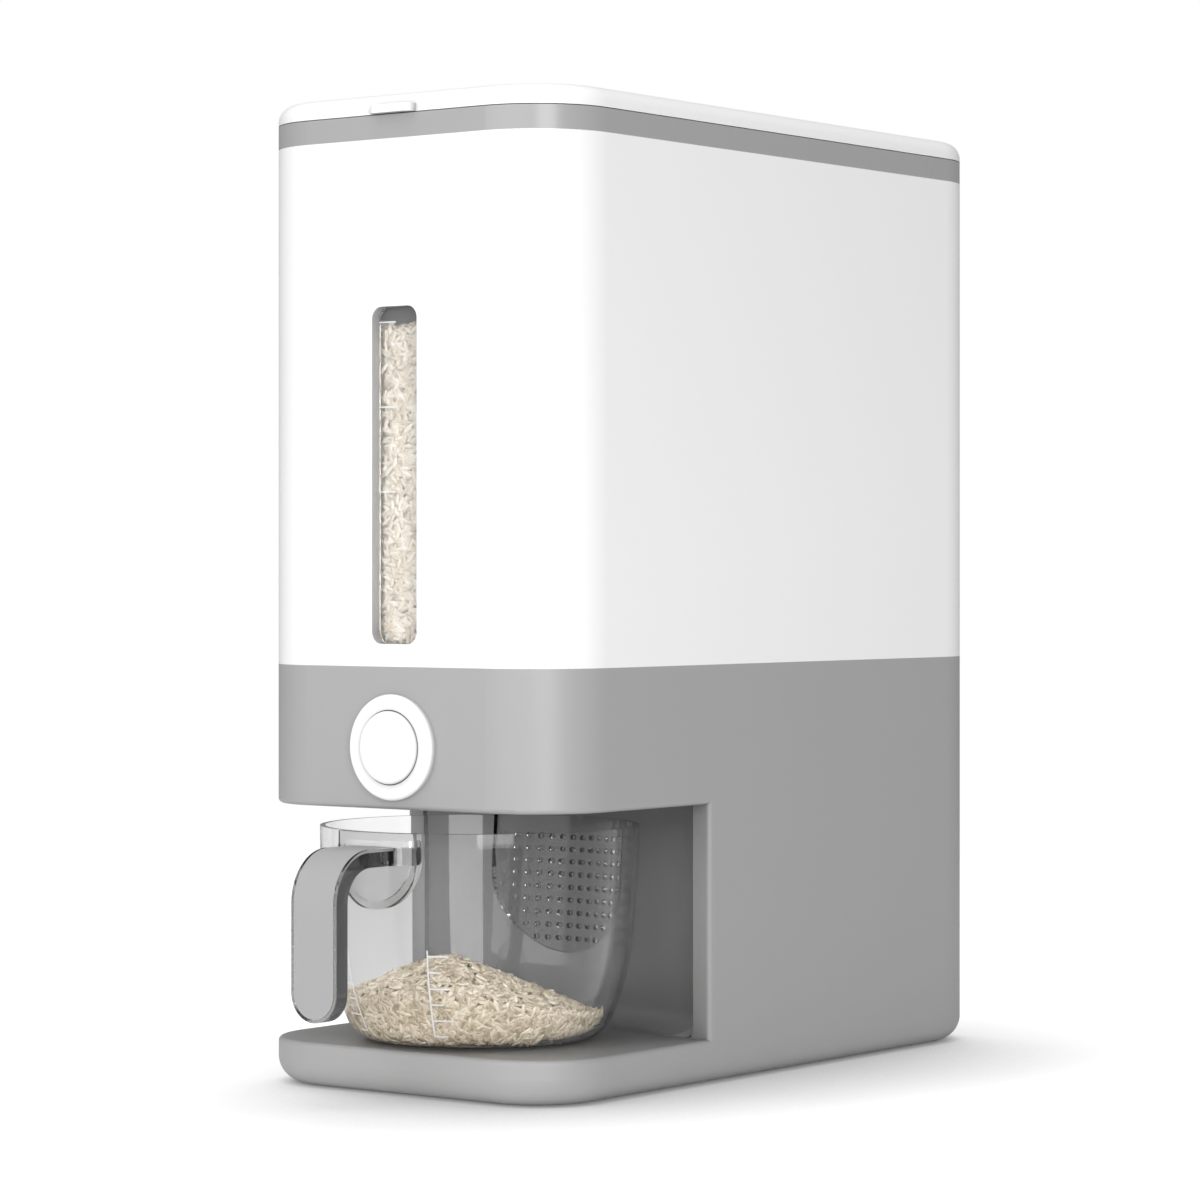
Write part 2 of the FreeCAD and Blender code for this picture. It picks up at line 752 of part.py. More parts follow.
def bin_shell():
    """The white bin: an upright tube with a locating tongue and a slot for the window."""
    side = ring("bin_side", 0.0, wall, seam, bin_top)
    tongue = ring(
        "bin_tongue",
        wall,
        wall + D["tongue"],
        seam - D["tongue_depth"],
        seam + D["tongue"],
    )
    rim = prism(
        "window_rim",
        "y",
        [window_outline(D["window_rim"])],
        front + wall / 2,
        front + wall + D["window_rim_depth"],
    )
    slot = prism(
        "window_slot",
        "y",
        [window_outline(0.0)],
        front - PAST,
        front + wall + D["window_rim_depth"] + PAST,
    )
    return cut("bin_shell", fuse("bin_walls", side, tongue, rim), slot)


def window_pane():
    """A clear pane behind the slot, with a step that fills the slot's inner half."""
    back = front + wall + D["window_rim_depth"]
    sheet_part = prism(
        "pane_sheet", "y", [window_outline(D["window_rim"])], back, back + D["pane"]
    )
    step = prism(
        "pane_step", "y", [window_outline(-D["fit"])], back - D["pane"], back + D["pane"]
    )
    return fuse("window_pane", sheet_part, step)


# ---------------------------------------------------------------- hopper


def funnel(name, drop):
    """The space inside the hopper, lowered by drop: four sloping planes that meet at the throat."""
    rise = D["bin_height"]
    front_slope = (seam + D["hopper_front_rise"] - throat_top) / (outlet_front + hopper_edge)
    wide = outlet_half + rise / D["hopper_side_slope"]
    # the wedge's own Y is its height, which the turn brings upright and its Z to the front
    wedge = doc.addObject("Part::Wedge", name)
    bind(wedge, "Ymin", 0.0)
    bind(wedge, "Ymax", rise)
    bind(wedge, "Xmin", -outlet_half)
    bind(wedge, "Xmax", outlet_half)
    bind(wedge, "Zmin", -outlet_rear)
    bind(wedge, "Zmax", -outlet_front)
    bind(wedge, "X2min", -wide)
    bind(wedge, "X2max", wide)
    bind(wedge, "Z2min", -outlet_rear - rise / D["hopper_rear_slope"])
    bind(wedge, "Z2max", -outlet_front + rise / front_slope)
    return place(wedge, 0.0, 0.0, throat_top - drop, Rotation(Vector(1, 0, 0), 90))


def hopper():
    """The sloping floor of the bin, which leads all the rice to the throat at the front."""
    skin = D["hopper_skin"]
    mouth = hopper_rear + skin
    block = slab("hopper_block", wall + play, throat_top - skin, mouth)
    floor = common("hopper_floor", block, funnel("hopper_outside", skin))
    margin = D["throat_wall"]
    throat = box(
        "throat",
        -outlet_half - margin,
        outlet_half + margin,
        outlet_front - margin,
        outlet_rear + margin,
        throat_bottom,
        throat_top,
    )
    half = D["hopper_rib"] / 2
    ribs = [
        box(
            f"hopper_rib_{n}",
            side * (half_width - D["hopper_rib_side"]) - half,
            side * (half_width - D["hopper_rib_side"]) + half,
            column_inner + D["hopper_rib_inset"],
            half_depth - wall - D["hopper_rib_inset"],
            deck_top,
            mouth,
        )
        for n, side in enumerate((-1, 1))
    ]
    way_down = box(
        "way_down",
        -outlet_half,
        outlet_half,
        outlet_front,
        outlet_rear,
        throat_bottom - PAST,
        throat_top + PAST,
    )
    tongue_room = ring(
        "tongue_room",
        0.0,
        wall + D["tongue"] + play,
        deck_top,
        seam + D["tongue"] + play,
    )
    return cut(
        "hopper",
        fuse("hopper_solid", floor, throat, *ribs),
        funnel("hopper_inside", 0.0),
        way_down,
        tongue_room,
    )


# ---------------------------------------------------------------- gate


def socket_outlines(margin, thickness):
    """Two rectangles round the outlet, for an upright collar."""
    x = outlet_half + margin
    outer = rectangle(
        -x - thickness,
        x + thickness,
        outlet_front - margin - thickness,
        outlet_rear + margin + thickness,
    )
    inner = rectangle(-x, x, outlet_front - margin, outlet_rear + margin)
    return [outer, inner]


def throat_gasket():
    outlines = socket_outlines(0.0, D["throat_wall"])
    return prism("throat_gasket", "z", outlines, gate_cover_top, throat_bottom)


def gate_tray():
    """The plate that the gate slides on, with the nozzle that reaches through the band."""
    edge = D["slider_half"] + play + D["rail"]
    outlet_hole = rectangle(-outlet_half, outlet_half, outlet_front, outlet_rear)
    floor = prism(
        "gate_floor",
        "z",
        [rectangle(-edge, edge, leg_rear, gate_tray_rear), outlet_hole],
        tray_bottom,
        tray_top,
    )
    nozzle = prism(
        "nozzle", "z", [nozzle_outline(0.0), outlet_hole], bay_top, tray_bottom + plate / 2
    )
    return fuse("gate_tray", floor, nozzle)


def gate_cover():
    """The cover over the gate: side rails below, and above it the throat's socket and spring seats."""
    edge = D["cover_half"]
    outlet_hole = rectangle(-outlet_half, outlet_half, outlet_front, outlet_rear)
    deck = prism(
        "gate_deck",
        "z",
        [rectangle(-edge, edge, gate_cover_front, gate_cover_rear), outlet_hole],
        gate_cover_bottom,
        gate_cover_top,
    )
    inner = D["slider_half"] + play
    rails = [
        box(
            f"gate_rail_{n}",
            left,
            left + D["rail"],
            gate_cover_front,
            gate_cover_rear,
            tray_top,
            gate_cover_bottom + plate / 2,
        )
        for n, left in enumerate((-inner - D["rail"], inner))
    ]
    socket = prism(
        "throat_socket",
        "z",
        socket_outlines(D["throat_wall"] + D["slack"], D["throat_wall"]),
        gate_cover_top - plate / 2,
        gate_cover_top + D["gasket_collar"],
    )
    seat_half = D["spring_radius"] + D["wire_radius"] + 2 * play
    seats = [
        box(
            f"spring_seat_{n}",
            side * D["spring_at"] - seat_half,
            side * D["spring_at"] + seat_half,
            spring_seat,
            spring_seat + plate,
            gate_cover_top - plate / 2,
            spring_height + seat_half,
        )
        for n, side in enumerate((-1, 1))
    ]
    return fuse("gate_cover", deck, socket, *rails, *seats)


def gate_slider():
    """The sliding gate: a flat plate with the outlet's twin in it, and a leg up to the button."""
    slack = D["slack"]
    x = outlet_half + slack
    twin = rectangle(-x, x, outlet_front - travel - slack, outlet_rear - travel + slack)
    half = D["slider_half"]
    floor = prism(
        "slider_floor",
        "z",
        [rectangle(-half, half, leg_front, slider_rear), twin],
        slider_bottom,
        slider_top,
    )
    wide = D["leg_half"]
    shoulder = spring_height + D["spring_radius"] + D["wire_radius"]
    neck = D["leg_neck"]
    top = button_height + neck
    step = slider_top + 2 * play
    leg_outline = [
        (-half, slider_bottom),
        (half, slider_bottom),
        (half, step),
        (wide, step),
        (wide, shoulder),
        (neck, shoulder),
        (neck, button_height, neck),
        (0.0, top, neck),
        (-neck, button_height),
        (-neck, shoulder),
        (-wide, shoulder),
        (-wide, step),
        (-half, step),
    ]
    leg = prism("slider_leg", "y", [leg_outline], leg_front, leg_rear)
    hole = rod(
        "peg_hole", D["cap_peg"], 0.0, leg_front - PAST, button_height, plate + 2 * PAST, "y"
    )
    return cut("gate_slider", fuse("slider_solid", floor, leg), hole)


def return_spring(name, side):
    """A compression spring between the gate's leg and its seat, drawn at rest."""
    wire = D["wire_radius"]
    length = D["spring_length"] - 2 * wire - play
    helix = doc.addObject("Part::Helix", name + "_helix")
    bind(helix, "Pitch", length / D["spring_turns"])
    bind(helix, "Height", length)
    bind(helix, "Radius", D["spring_radius"])
    section = doc.addObject("Part::RegularPolygon", name + "_wire")
    section.Polygon = 4
    bind(section, "Circumradius", wire)
    place(section, D["spring_radius"], 0.0, 0.0, Rotation(Vector(1, 0, 0), 90))
    coil = doc.addObject("Part::Sweep", name)
    coil.Sections = [section]
    coil.Spine = (helix, ["Edge1"])
    coil.Solid = True
    coil.Frenet = True
    turn = Rotation(Vector(1, 0, 0), -90)
    start = leg_rear + play + wire
    return place(coil, side * D["spring_at"], start, spring_height, turn)


# ---------------------------------------------------------------- button


def button_bezel():
    """The round frame of the button, with a sleeve through the wall that guides the cap."""
    inner = D["cap_radius"] + play
    outer = sleeve_radius + D["bezel_flange"]
    proud = D["bezel_proud"]
    edge = D["bezel_edge"]
    profile = [
        (-proud, inner),
        (D["bezel_depth"], inner),
        (D["bezel_depth"], sleeve_radius),
        (0.0, sleeve_radius),
        (0.0, outer),
        (-proud + edge, outer, edge),
        (-proud, outer - edge),
    ]
    return place(turned("button_bezel", "x", profile, "H_Axis"), 0.0, front, button_height)


def button_cap():
    """The button: a shallow domed cap with a boss whose peg is pressed through the gate's leg."""
    radius = D["cap_radius"]
    skin = D["cap_wall"]
    edge = D["cap_edge"]
    crown = D["cap_crown"]
    apex = -D["bezel_proud"] - D["cap_proud"]
    shoulder = apex + crown
    reach = radius - edge
    dome = (reach * reach + crown * crown) / (2 * crown)
    profile = [
        (apex, 0.0),
        (D["boss_end"] + plate, 0.0),
        (D["boss_end"] + plate, D["cap_peg"]),
        (D["boss_end"], D["cap_peg"]),
        (D["boss_end"], D["cap_boss"]),
        (shoulder + skin, D["cap_boss"]),
        (shoulder + skin, radius - skin),
        (D["cap_skirt"], radius - skin),
        (D["cap_skirt"], radius),
        (shoulder + edge, radius, edge),
        (shoulder, reach, dome),
    ]
    return place(turned("button_cap", "x", profile, "H_Axis"), 0.0, front, button_height)


# ---------------------------------------------------------------- collar, hinge and lid


def lug(name, side):
    """A hinge lug on the collar, standing in the well behind the lid."""
    radius = D["hinge_radius"]
    rear = radius / 2
    drop = root(radius * radius - rear * rear)
    outline = [
        (hinge_y - radius, well_floor - SUNK),
        (hinge_y + rear, well_floor - SUNK),
        (hinge_y + rear, hinge_z - drop, radius),
        (hinge_y, hinge_z + radius, radius),
        (hinge_y - radius, hinge_z),
    ]
    middle = side * D["lug_at"]
    half = D["lug_width"] / 2
    return prism(name, "x", [outline], middle - half, middle + half)


def collar_ring():
    """The grey collar that frames the bin's mouth, with a skirt inside it and the hinge's lugs."""
    frame = ring("collar_frame", 0.0, D["collar_land"], bin_top, collar_top)
    skirt = ring(
        "collar_skirt", wall, wall + D["skirt"], bin_top - D["skirt_depth"], bin_top + wall
    )
    well_half = half_width - D["corner_radius"] + D["well_reach"]
    well = box(
        "hinge_well",
        -well_half,
        well_half,
        hinge_y - D["well_front"],
        half_depth + PAST,
        well_floor,
        collar_top + PAST,
    )
    body = cut("collar_body", fuse("collar_solid", frame, skirt), well)
    lugs = [lug(f"lug_{n}", side) for n, side in enumerate((-1, 1))]
    holes = [
        rod(
            f"lug_hole_{n}",
            D["pin_radius"],
            side * D["lug_at"] - D["lug_width"],
            hinge_y,
            hinge_z,
            2 * D["lug_width"],
            "x",
        )
        for n, side in enumerate((-1, 1))
    ]
    return cut("collar_ring", fuse("collar_with_lugs", body, *lugs), *holes)


def hinge_pin(name, side):
    length = D["lug_width"] + 2 * (play + D["knuckle_width"])
    return rod(
        name, D["pin_radius"], side * D["lug_at"] - length / 2, hinge_y, hinge_z, length, "x"
    )


def knuckle_places():
    """The left edge of each of the lid's four knuckles."""
    gap = D["lug_width"] / 2 + play
    width = D["knuckle_width"]
    return [
        left
        for side in (-1, 1)
        for left in (side * D["lug_at"] - gap - width, side * D["lug_at"] + gap)
    ]


def lid():
    """The white lid: a shallow shell with a rounded edge, a lift tab and four hinge knuckles."""
    skin = D["lid_skin"]
    outer = slab("lid_outer", 0.0, lid_bottom, lid_top)
    round_edges(outer, "lid_top_edge", D["lid_edge_radius"], level_at(lid_top))
    inside = slab("lid_inside", skin, lid_bottom - PAST, lid_top - skin)
    chamfer_edges(inside, "lid_inside_cut", D["lid_inside_edge"], level_at(lid_top - skin))
    tab_half = D["tab_width"] / 2
    tab = prism(
        "lift_tab",
        "z",
        [rounded(-tab_half, tab_half, front - D["tab_proud"], front + D["tab_proud"], D["tab_corner"])],
        lid_bottom,
        lid_bottom + D["tab_height"],
    )
    radius = D["hinge_radius"]
    top = lid_top - skin / 2
    outline = [
        (hinge_y + radius, hinge_z),
        (hinge_y + radius, top),
        (hinge_y - radius, top),
        (hinge_y - radius, hinge_z, radius),
        (hinge_y, hinge_z - radius, radius),
    ]
    width = D["knuckle_width"]
    knuckles = [
        prism(f"knuckle_{n}", "x", [outline], left, left + width)
        for n, left in enumerate(knuckle_places())
    ]
    holes = [
        rod(
            f"knuckle_hole_{n}",
            D["pin_radius"] + D["running"],
            left - PAST,
            hinge_y,
            hinge_z,
            width + 2 * PAST,
            "x",
        )
        for n, left in enumerate(knuckle_places())
    ]
    gap = D["lug_width"] / 2 + play + D["slack"]
    notches = [
        box(
            f"lug_notch_{n}",
            side * D["lug_at"] - gap,
            side * D["lug_at"] + gap,
            hinge_y + radius + play,
            half_depth + PAST,
            lid_bottom - PAST,
            lid_top - skin,
        )
        for n, side in enumerate((-1, 1))
    ]
    shell = cut("lid_shell", outer, inside)
    return cut("lid", fuse("lid_solid", shell, tab, *knuckles), *holes, *notches)


def lid_liner():
    """The tray under the lid that plugs the bin's mouth and carries the seal."""
    skin = D["liner_skin"]
    low = lid_bottom - D["plug_depth"]
    outer = slab("liner_outer", D["plug_inset"], low, lid_top - D["lid_skin"])
    inner = slab("liner_inner", D["plug_inset"] + skin, low + skin, lid_top)
    return cut("lid_liner", outer, inner)


def lid_seal():
    low = collar_top - D["seal_height"]
    return ring(
        "lid_seal", D["collar_land"] + D["seal_gap"], D["plug_inset"], low, collar_top
    )


# ---------------------------------------------------------------- measuring cup


STRAINER_ROWS = [6, 6, 6, 6, 6, 5, 5, 4, 3]


def cup_side(inward):
    """The cup's side from its heel up to the rim, as (radius, height, bend) points, moved inward.
    Three arcs that run into each other: a rounded heel, a leaning lower wall and a tall upper wall."""
    waist = D["cup_waist"]
    heel = D["cup_heel"]
    lean = D["cup_waist_lean"]
    heel_lean = D["cup_heel_lean"]
    upper = (cup_height - waist) / sine(lean)
    waist_radius = D["cup_radius"] - upper * (1 - cosine(lean))
    lower = (waist - heel) / (sine(heel_lean) - sine(lean))
    heel_radius = waist_radius - lower * (cosine(lean) - cosine(heel_lean))
    corner = heel / (1 - sine(heel_lean))
    flat = heel_radius - corner * cosine(heel_lean)
    return [
        (flat, as_size(inward), corner - inward),
        (
            heel_radius - inward * cosine(heel_lean),
            heel + inward * sine(heel_lean),
            lower - inward,
        ),
        (waist_radius - inward * cosine(lean), waist + inward * sine(lean), upper - inward),
        (D["cup_radius"] - inward, cup_height),
    ]


def downwards(points):
    """The same side drawn from the rim down, so that its arcs are hollow."""
    radii = [p[2] if len(p) > 2 else None for p in points]
    turned_round = []
    for i in range(len(points) - 1, -1, -1):
        bend = radii[i - 1] if i > 0 else None
        point = points[i][:2]
        turned_round.append(point if bend is None else point + (-bend,))
    return turned_round


def cup_block(name, top):
    """The cup's outside as a solid block, up to a height above its base."""
    profile = [(0.0, 0.0)] + cup_side(0.0) + [(D["cup_radius"], top), (0.0, top)]
    return place(turned(name, "x", profile, "V_Axis"), 0.0, cup_centre, cup_base)


def cup_wall(name):
    """The whole wall and floor of the cup, turned in one piece."""
    skin = D["cup_wall"]
    profile = [(0.0, 0.0)] + cup_side(0.0) + downwards(cup_side(skin)) + [(0.0, skin)]
    return place(turned(name, "x", profile, "V_Axis"), 0.0, cup_centre, cup_base)


def tongue_outline(half, low, high):
    """An outline in (x, z) with a round lower end."""
    return [
        (-half, low + half, half),
        (0.0, low, half),
        (half, low + half),
        (half, high),
        (-half, high),
    ]


def strainer_space(name, above):
    """The part of the cup's rear wall that the strainer takes up, ending above the rim."""
    rim = cup_base + cup_height
    outline = tongue_outline(D["strainer_half"], cup_base + D["strainer_rise"], rim + above)
    return prism(name, "y", [outline], cup_centre, cup_centre + D["cup_radius"] + PAST)


def measuring_cup():
    """The clear cup, with a round-ended gap in the rear of its rim for the strainer."""
    return cut("measuring_cup", cup_wall("cup_blank"), strainer_space("strainer_gap", PAST))


def many_sided(name, sides, radius, height):
    """An upright prism whose sides are at a radius from its axis."""
    solid = doc.addObject("Part::Prism", name)
    solid.Polygon = sides
    bind(solid, "Circumradius", radius / cosine(as_size(180.0) / sides))
    bind(solid, "Height", height)
    return solid


def strainer_holes(step):
    """Rows of six-sided holes round the drum's axis, which starts at the rim. A row has its
    number of holes on either side of the middle one, to follow the round lower end."""
    skin = D["cup_wall"]
    start = D["cup_radius"] - 2 * skin
    holes = []
    for row, half_count in enumerate(STRAINER_ROWS):
        height = -D["hole_drop"] - row * D["hole_pitch"]
        for column in range(-half_count, half_count + 1):
            across = sine(column * step)
            along = cosine(column * step)
            turn = Rotation(Vector(0, 0, 1), Vector(across.value, along.value, 0))
            hole = many_sided("strainer_hole", 6, D["hole_radius"], 3 * skin)
            holes.append(place(hole, start * across, start * along, height, turn))
    return holes


def cup_strainer():
    """The perforated panel at the rear of the cup, which holds washed rice back. It is cut from
    a leaning drum of narrow flats, so that every hole goes square through a flat."""
    flats = int(D["strainer_flats"].value)
    step = 360.0 / D["strainer_flats"]
    lean = D["strainer_lean"]
    outside = D["cup_radius"]
    turn = Rotation(Vector(0, 0, 1), 90.0 + step.value / 2)
    drums = [
        place(many_sided(name, flats, radius, 2 * cup_height), 0.0, 0.0, -cup_height, turn)
        for name, radius in (("drum_outside", outside), ("drum_inside", outside - D["cup_wall"]))
    ]
    drum = cut("strainer_drum", drums[0], drums[1], *strainer_holes(step))
    place(
        drum,
        0.0,
        cup_centre + outside * (1 - cosine(lean)) + D["strainer_shift"],
        cup_base + cup_height + outside * sine(lean),
        Rotation(Vector(1, 0, 0), -lean.value),
    )
    return common("cup_strainer", drum, strainer_space("strainer_edge", as_size(0.0)))


def strap_outline(start, depth, end):
    """The handle's side view: out from the cup, round the bend and down, between two depths
    under its outer face, as a closed outline in (y, z)."""
    bend = D["handle_bend"]
    outer = handle_face + start
    inner = handle_face + depth
    return [
        (outer, end),
        (inner, end),
        (inner, handle_top - bend, -(bend - depth)),
        (handle_face + bend, handle_top - depth),
        (cup_centre, handle_top - depth),
        (cup_centre, handle_top - start),
        (handle_face + bend, handle_top - start, bend - start),
        (outer, handle_top - bend),
    ]


def cup_inlay(name):
    """The grey inlay in the handle's outer face, bent with it."""
    margin = D["inlay_margin"]
    half = D["handle_half"] - margin
    low = handle_top - D["handle_length"] + margin
    strip = prism(
        name + "_strip", "x", [strap_outline(0.0, D["inlay"], low - PAST)], -half, half
    )
    shape = prism(
        name + "_shape",
        "y",
        [tongue_outline(half, low, handle_top + PAST)],
        handle_face - PAST,
        cup_centre - D["cup_radius"] - margin,
    )
    return common(name, strip, shape)


def root_layer(name, outlines, proud):
    """A layer of the handle's root, standing proud of the cup's wall all over."""
    block = prism(
        name + "_block", "y", outlines, cup_centre - D["cup_radius"] - proud, cup_centre
    )
    radius = D["cup_radius"] + proud
    bound = rod(name + "_bound", radius, 0.0, cup_centre, cup_base, cup_height)
    return common(name, block, bound)


def cup_handle():
    """The clear handle: a bent strap with a round lower end, flared into a root on the cup's wall."""
    half = D["handle_half"]
    low = handle_top - D["handle_length"]
    thickness = D["handle_thickness"]
    strap = common(
        "handle_strap",
        prism("strap_side", "x", [strap_outline(0.0, thickness, low - PAST)], -half, half),
        prism(
            "strap_front",
            "y",
            [tongue_outline(half, low, handle_top + PAST)],
            handle_face - PAST,
            cup_centre,
        ),
    )
    rim = cup_centre - D["cup_radius"]
    wide = D["root_half"]
    step = wide - half
    flare = prism(
        "handle_flare",
        "z",
        [
            [
                (-half, rim - step),
                (half, rim - step, -step),
                (wide, rim),
                (wide, cup_centre),
                (-wide, cup_centre),
                (-wide, rim, -step),
            ]
        ],
        handle_top - thickness,
        handle_top,
    )
    root_low = handle_top - D["root_depth"]
    root_high = cup_base + cup_height
    rim_width = D["root_rim"]
    root_plate = root_layer(
        "root_plate", [tongue_outline(wide, root_low, root_high)], D["root_proud"]
    )
    root_rim = root_layer(
        "root_rim",
        [
            tongue_outline(wide, root_low, root_high),
            tongue_outline(wide - rim_width, root_low + rim_width, root_high - rim_width),
        ],
        D["root_rim_proud"],
    )
    return cut(
        "cup_handle",
        fuse("handle_solid", strap, flare, root_plate, root_rim),
        cup_block("cup_space", cup_height + PAST),
        cup_inlay("inlay_space"),
    )


# ---------------------------------------------------------------- the whole

parts = [
    base_housing(),
    bay_back(),
    base_cover(),
    *foot_pads(),
    bin_shell(),
    window_pane(),
    hopper(),
    throat_gasket(),
    gate_tray(),
    gate_cover(),
    button_bezel(),
    return_spring("return_spring_left", -1),
    return_spring("return_spring_right", 1),
    collar_ring(),
    hinge_pin("hinge_pin_left", -1),
    hinge_pin("hinge_pin_right", 1),
    lid(),
    lid_liner(),
    lid_seal(),
    button_cap(),
    gate_slider(),
    measuring_cup(),
    cup_strainer(),
    cup_handle(),
    cup_inlay("handle_inlay"),
]
doc.recompute()

for thing in doc.Objects:
    if {"Invalid", "Error"} & set(thing.State):
        raise RuntimeError(f"{thing.Label} did not build: {thing.State}")
for part in parts:
    if part.Shape.isNull() or not part.Shape.isValid() or not part.Shape.Solids:
        raise RuntimeError(f"{part.Label} has no valid solid")

for part in parts:
    part.Shape.exportStep(f"parts/{part.Label}.step")
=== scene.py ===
# %% [markdown]
# # A rice dispenser, finished in Blender
# The solid model of the dispenser is already built and packed. This lesson gives it its plastics,
# its clear cup and its rice, and then sets up a small photo studio round it. Every length is in
# metres, X runs across the front, the front faces -Y and Z is up.
#
# The solid model comes first, as a fixed frame. Its pieces are never moved or changed, so whatever
# is added here still fits the model that moves in the simulation.

# %% Load the solid model as a fixed frame
import math
import random

import bpy
from mathutils import Matrix, Vector


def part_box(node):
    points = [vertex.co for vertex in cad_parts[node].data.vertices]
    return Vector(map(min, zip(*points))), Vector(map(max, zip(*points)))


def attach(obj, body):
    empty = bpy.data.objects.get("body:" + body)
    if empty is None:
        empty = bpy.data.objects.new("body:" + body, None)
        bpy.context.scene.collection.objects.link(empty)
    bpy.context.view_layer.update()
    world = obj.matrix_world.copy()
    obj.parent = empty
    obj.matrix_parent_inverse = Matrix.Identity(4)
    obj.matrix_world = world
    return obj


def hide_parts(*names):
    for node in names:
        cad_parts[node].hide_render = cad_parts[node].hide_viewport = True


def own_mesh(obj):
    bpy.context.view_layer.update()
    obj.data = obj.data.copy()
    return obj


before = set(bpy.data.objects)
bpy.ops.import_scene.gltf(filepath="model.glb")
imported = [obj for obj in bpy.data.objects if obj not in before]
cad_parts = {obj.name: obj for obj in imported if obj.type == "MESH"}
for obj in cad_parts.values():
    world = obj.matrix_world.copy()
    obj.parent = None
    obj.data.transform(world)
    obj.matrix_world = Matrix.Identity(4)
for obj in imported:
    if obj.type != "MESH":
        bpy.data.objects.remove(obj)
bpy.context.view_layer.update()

print("nodes:", len(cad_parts))

# %% [markdown]
# ## Small helpers for shapes
# Operators act on whatever is selected, so each piece starts by clearing the selection. When a
# piece is done, its place is moved into its mesh, because the solid model's own pieces also sit at
# the origin. Sizes are written in millimetres, as on a drawing.

# %% Helpers for pieces
MM = 0.001


def deselect():
    bpy.ops.object.select_all(action="DESELECT")


def pick(piece):
    """Makes one piece the only selected one, and the active one."""
    deselect()
    piece.select_set(True)
    bpy.context.view_layer.objects.active = piece


def settle(piece):
    """Moves a piece's place, turn and size into its mesh."""
    pick(piece)
    bpy.ops.object.transform_apply(location=True, rotation=True, scale=True)
    return piece


def apply_modifier(piece, kind, **settings):
    """Adds one modifier, sets it and applies it."""
    pick(piece)
    modifier = piece.modifiers.new(kind.lower(), kind)
    for name, value in settings.items():
        setattr(modifier, name, value)
    bpy.ops.object.modifier_apply(modifier=modifier.name)


def smooth(piece, degrees):
    """Shades a piece smooth, except at edges that turn by more than this."""
    pick(piece)
    bpy.ops.object.shade_smooth_by_angle(angle=math.radians(degrees))


# %% [markdown]
# ## Shader maths as Python
# A material is a graph of nodes. Writing every Math node by hand hides what it computes, so a
# small class wraps a socket and lets Python's own operators add the Math nodes.

# %% A socket that can be calculated with
class Value:
    """One output of a node. Sums and products of it are Math nodes."""

    def __init__(self, tree, socket):
        self.tree = tree
        self.socket = socket

    def math(self, operation, a, b=0.0):
        return self.tree.node("ShaderNodeMath", {"operation": operation}, {0: a, 1: b})

    def __add__(self, other):
        return self.math("ADD", self, other)

    def __radd__(self, other):
        return self.math("ADD", other, self)

    def __sub__(self, other):
        return self.math("SUBTRACT", self, other)

    def __rsub__(self, other):
        return self.math("SUBTRACT", other, self)

    def __mul__(self, other):
        return self.math("MULTIPLY", self, other)

    def __rmul__(self, other):
        return self.math("MULTIPLY", other, self)

    def larger(self, other):
        return self.math("MAXIMUM", self, other)


# %% [markdown]
# ## One place that adds nodes
# A material and the world both hold a tree of nodes. Every node is added by one method, which
# takes its type, its settings and what goes into its sockets: a number, a colour or a Value.

# %% The tree of a material or of the world
OPENNESS_RAYS = 8


class Tree:
    def __init__(self, holder):
        self.holder = holder
        holder.use_nodes = True
        self.nodes = holder.node_tree.nodes
        self.links = holder.node_tree.links

    def feed(self, socket, value):
        """Links a Value to a socket, or sets the socket's own number or colour."""
        if isinstance(value, Value):
            self.links.new(value.socket, socket)
        else:
            socket.default_value = value

    def node(self, kind, settings=None, inputs=None, output=0):
        """Adds a node and returns one of its outputs."""
        new = self.nodes.new(kind)
        for name, value in (settings or {}).items():
            setattr(new, name, value)
        for name, value in (inputs or {}).items():
            self.feed(new.inputs[name], value)
        return Value(self, new.outputs[output])

    def place(self):
        """The point of the surface, in metres, in the object's own frame."""
        return self.node("ShaderNodeTexCoord", output="Object")

    def noise(self, scale, detail=2.0):
        """A number round 0.5 that wanders over the surface. Scale is in waves per metre."""
        inputs = {"Vector": self.place(), "Scale": scale, "Detail": detail}
        return self.node("ShaderNodeTexNoise", {}, inputs)

    def mix(self, factor, a, b):
        """A colour between a and b."""
        settings = {"data_type": "RGBA"}
        return self.node("ShaderNodeMix", settings, {0: factor, 6: a, 7: b}, output=2)

    def blend(self, factor, a, b):
        """A shader between a and b."""
        return self.node("ShaderNodeMixShader", {}, {0: factor, 1: a, 2: b})

    def bump(self, height, strength, distance):
        inputs = {"Height": height, "Strength": strength, "Distance": distance}
        return self.node("ShaderNodeBump", {}, inputs)

    def openness(self, reach, alone, lean=None):
        """1 in the open, less where a surface stands within reach.

        Alone counts only the piece's own surfaces. Lean looks in that direction and not straight
        out of the surface.
        """
        settings = {"samples": OPENNESS_RAYS, "only_local": alone}
        inputs = {"Distance": reach}
        if lean:
            inputs["Normal"] = self.node("ShaderNodeCombineXYZ", {}, dict(enumerate(lean)))
        return self.node("ShaderNodeAmbientOcclusion", settings, inputs, output="AO")

    def piece_shade(self):
        """A number from 0 to 1 that differs from one loose piece of a mesh to the next."""
        return self.node("ShaderNodeNewGeometry", output="Random Per Island")

    def plastic(self, **values):
        """Sets the sockets of the Principled shader. Base_Color stands for Base Color."""
        shader = self.nodes["Principled BSDF"]
        for name, value in values.items():
            self.feed(shader.inputs[name.replace("_", " ")], value)
        return Value(self, shader.outputs[0])

    def show(self, shader, part="Surface"):
        """Sends a shader to the output."""
        output = next(node for node in self.nodes if node.type.startswith("OUTPUT"))
        self.links.new(shader.socket, output.inputs[part])


def new_material(name):
    return Tree(bpy.data.materials.new(name))


def rgb(red, green, blue):
    return (red, green, blue, 1.0)


def wear(piece, material):
    """Gives a piece its one material."""
    piece.data.materials.clear()
    piece.data.materials.append(material)


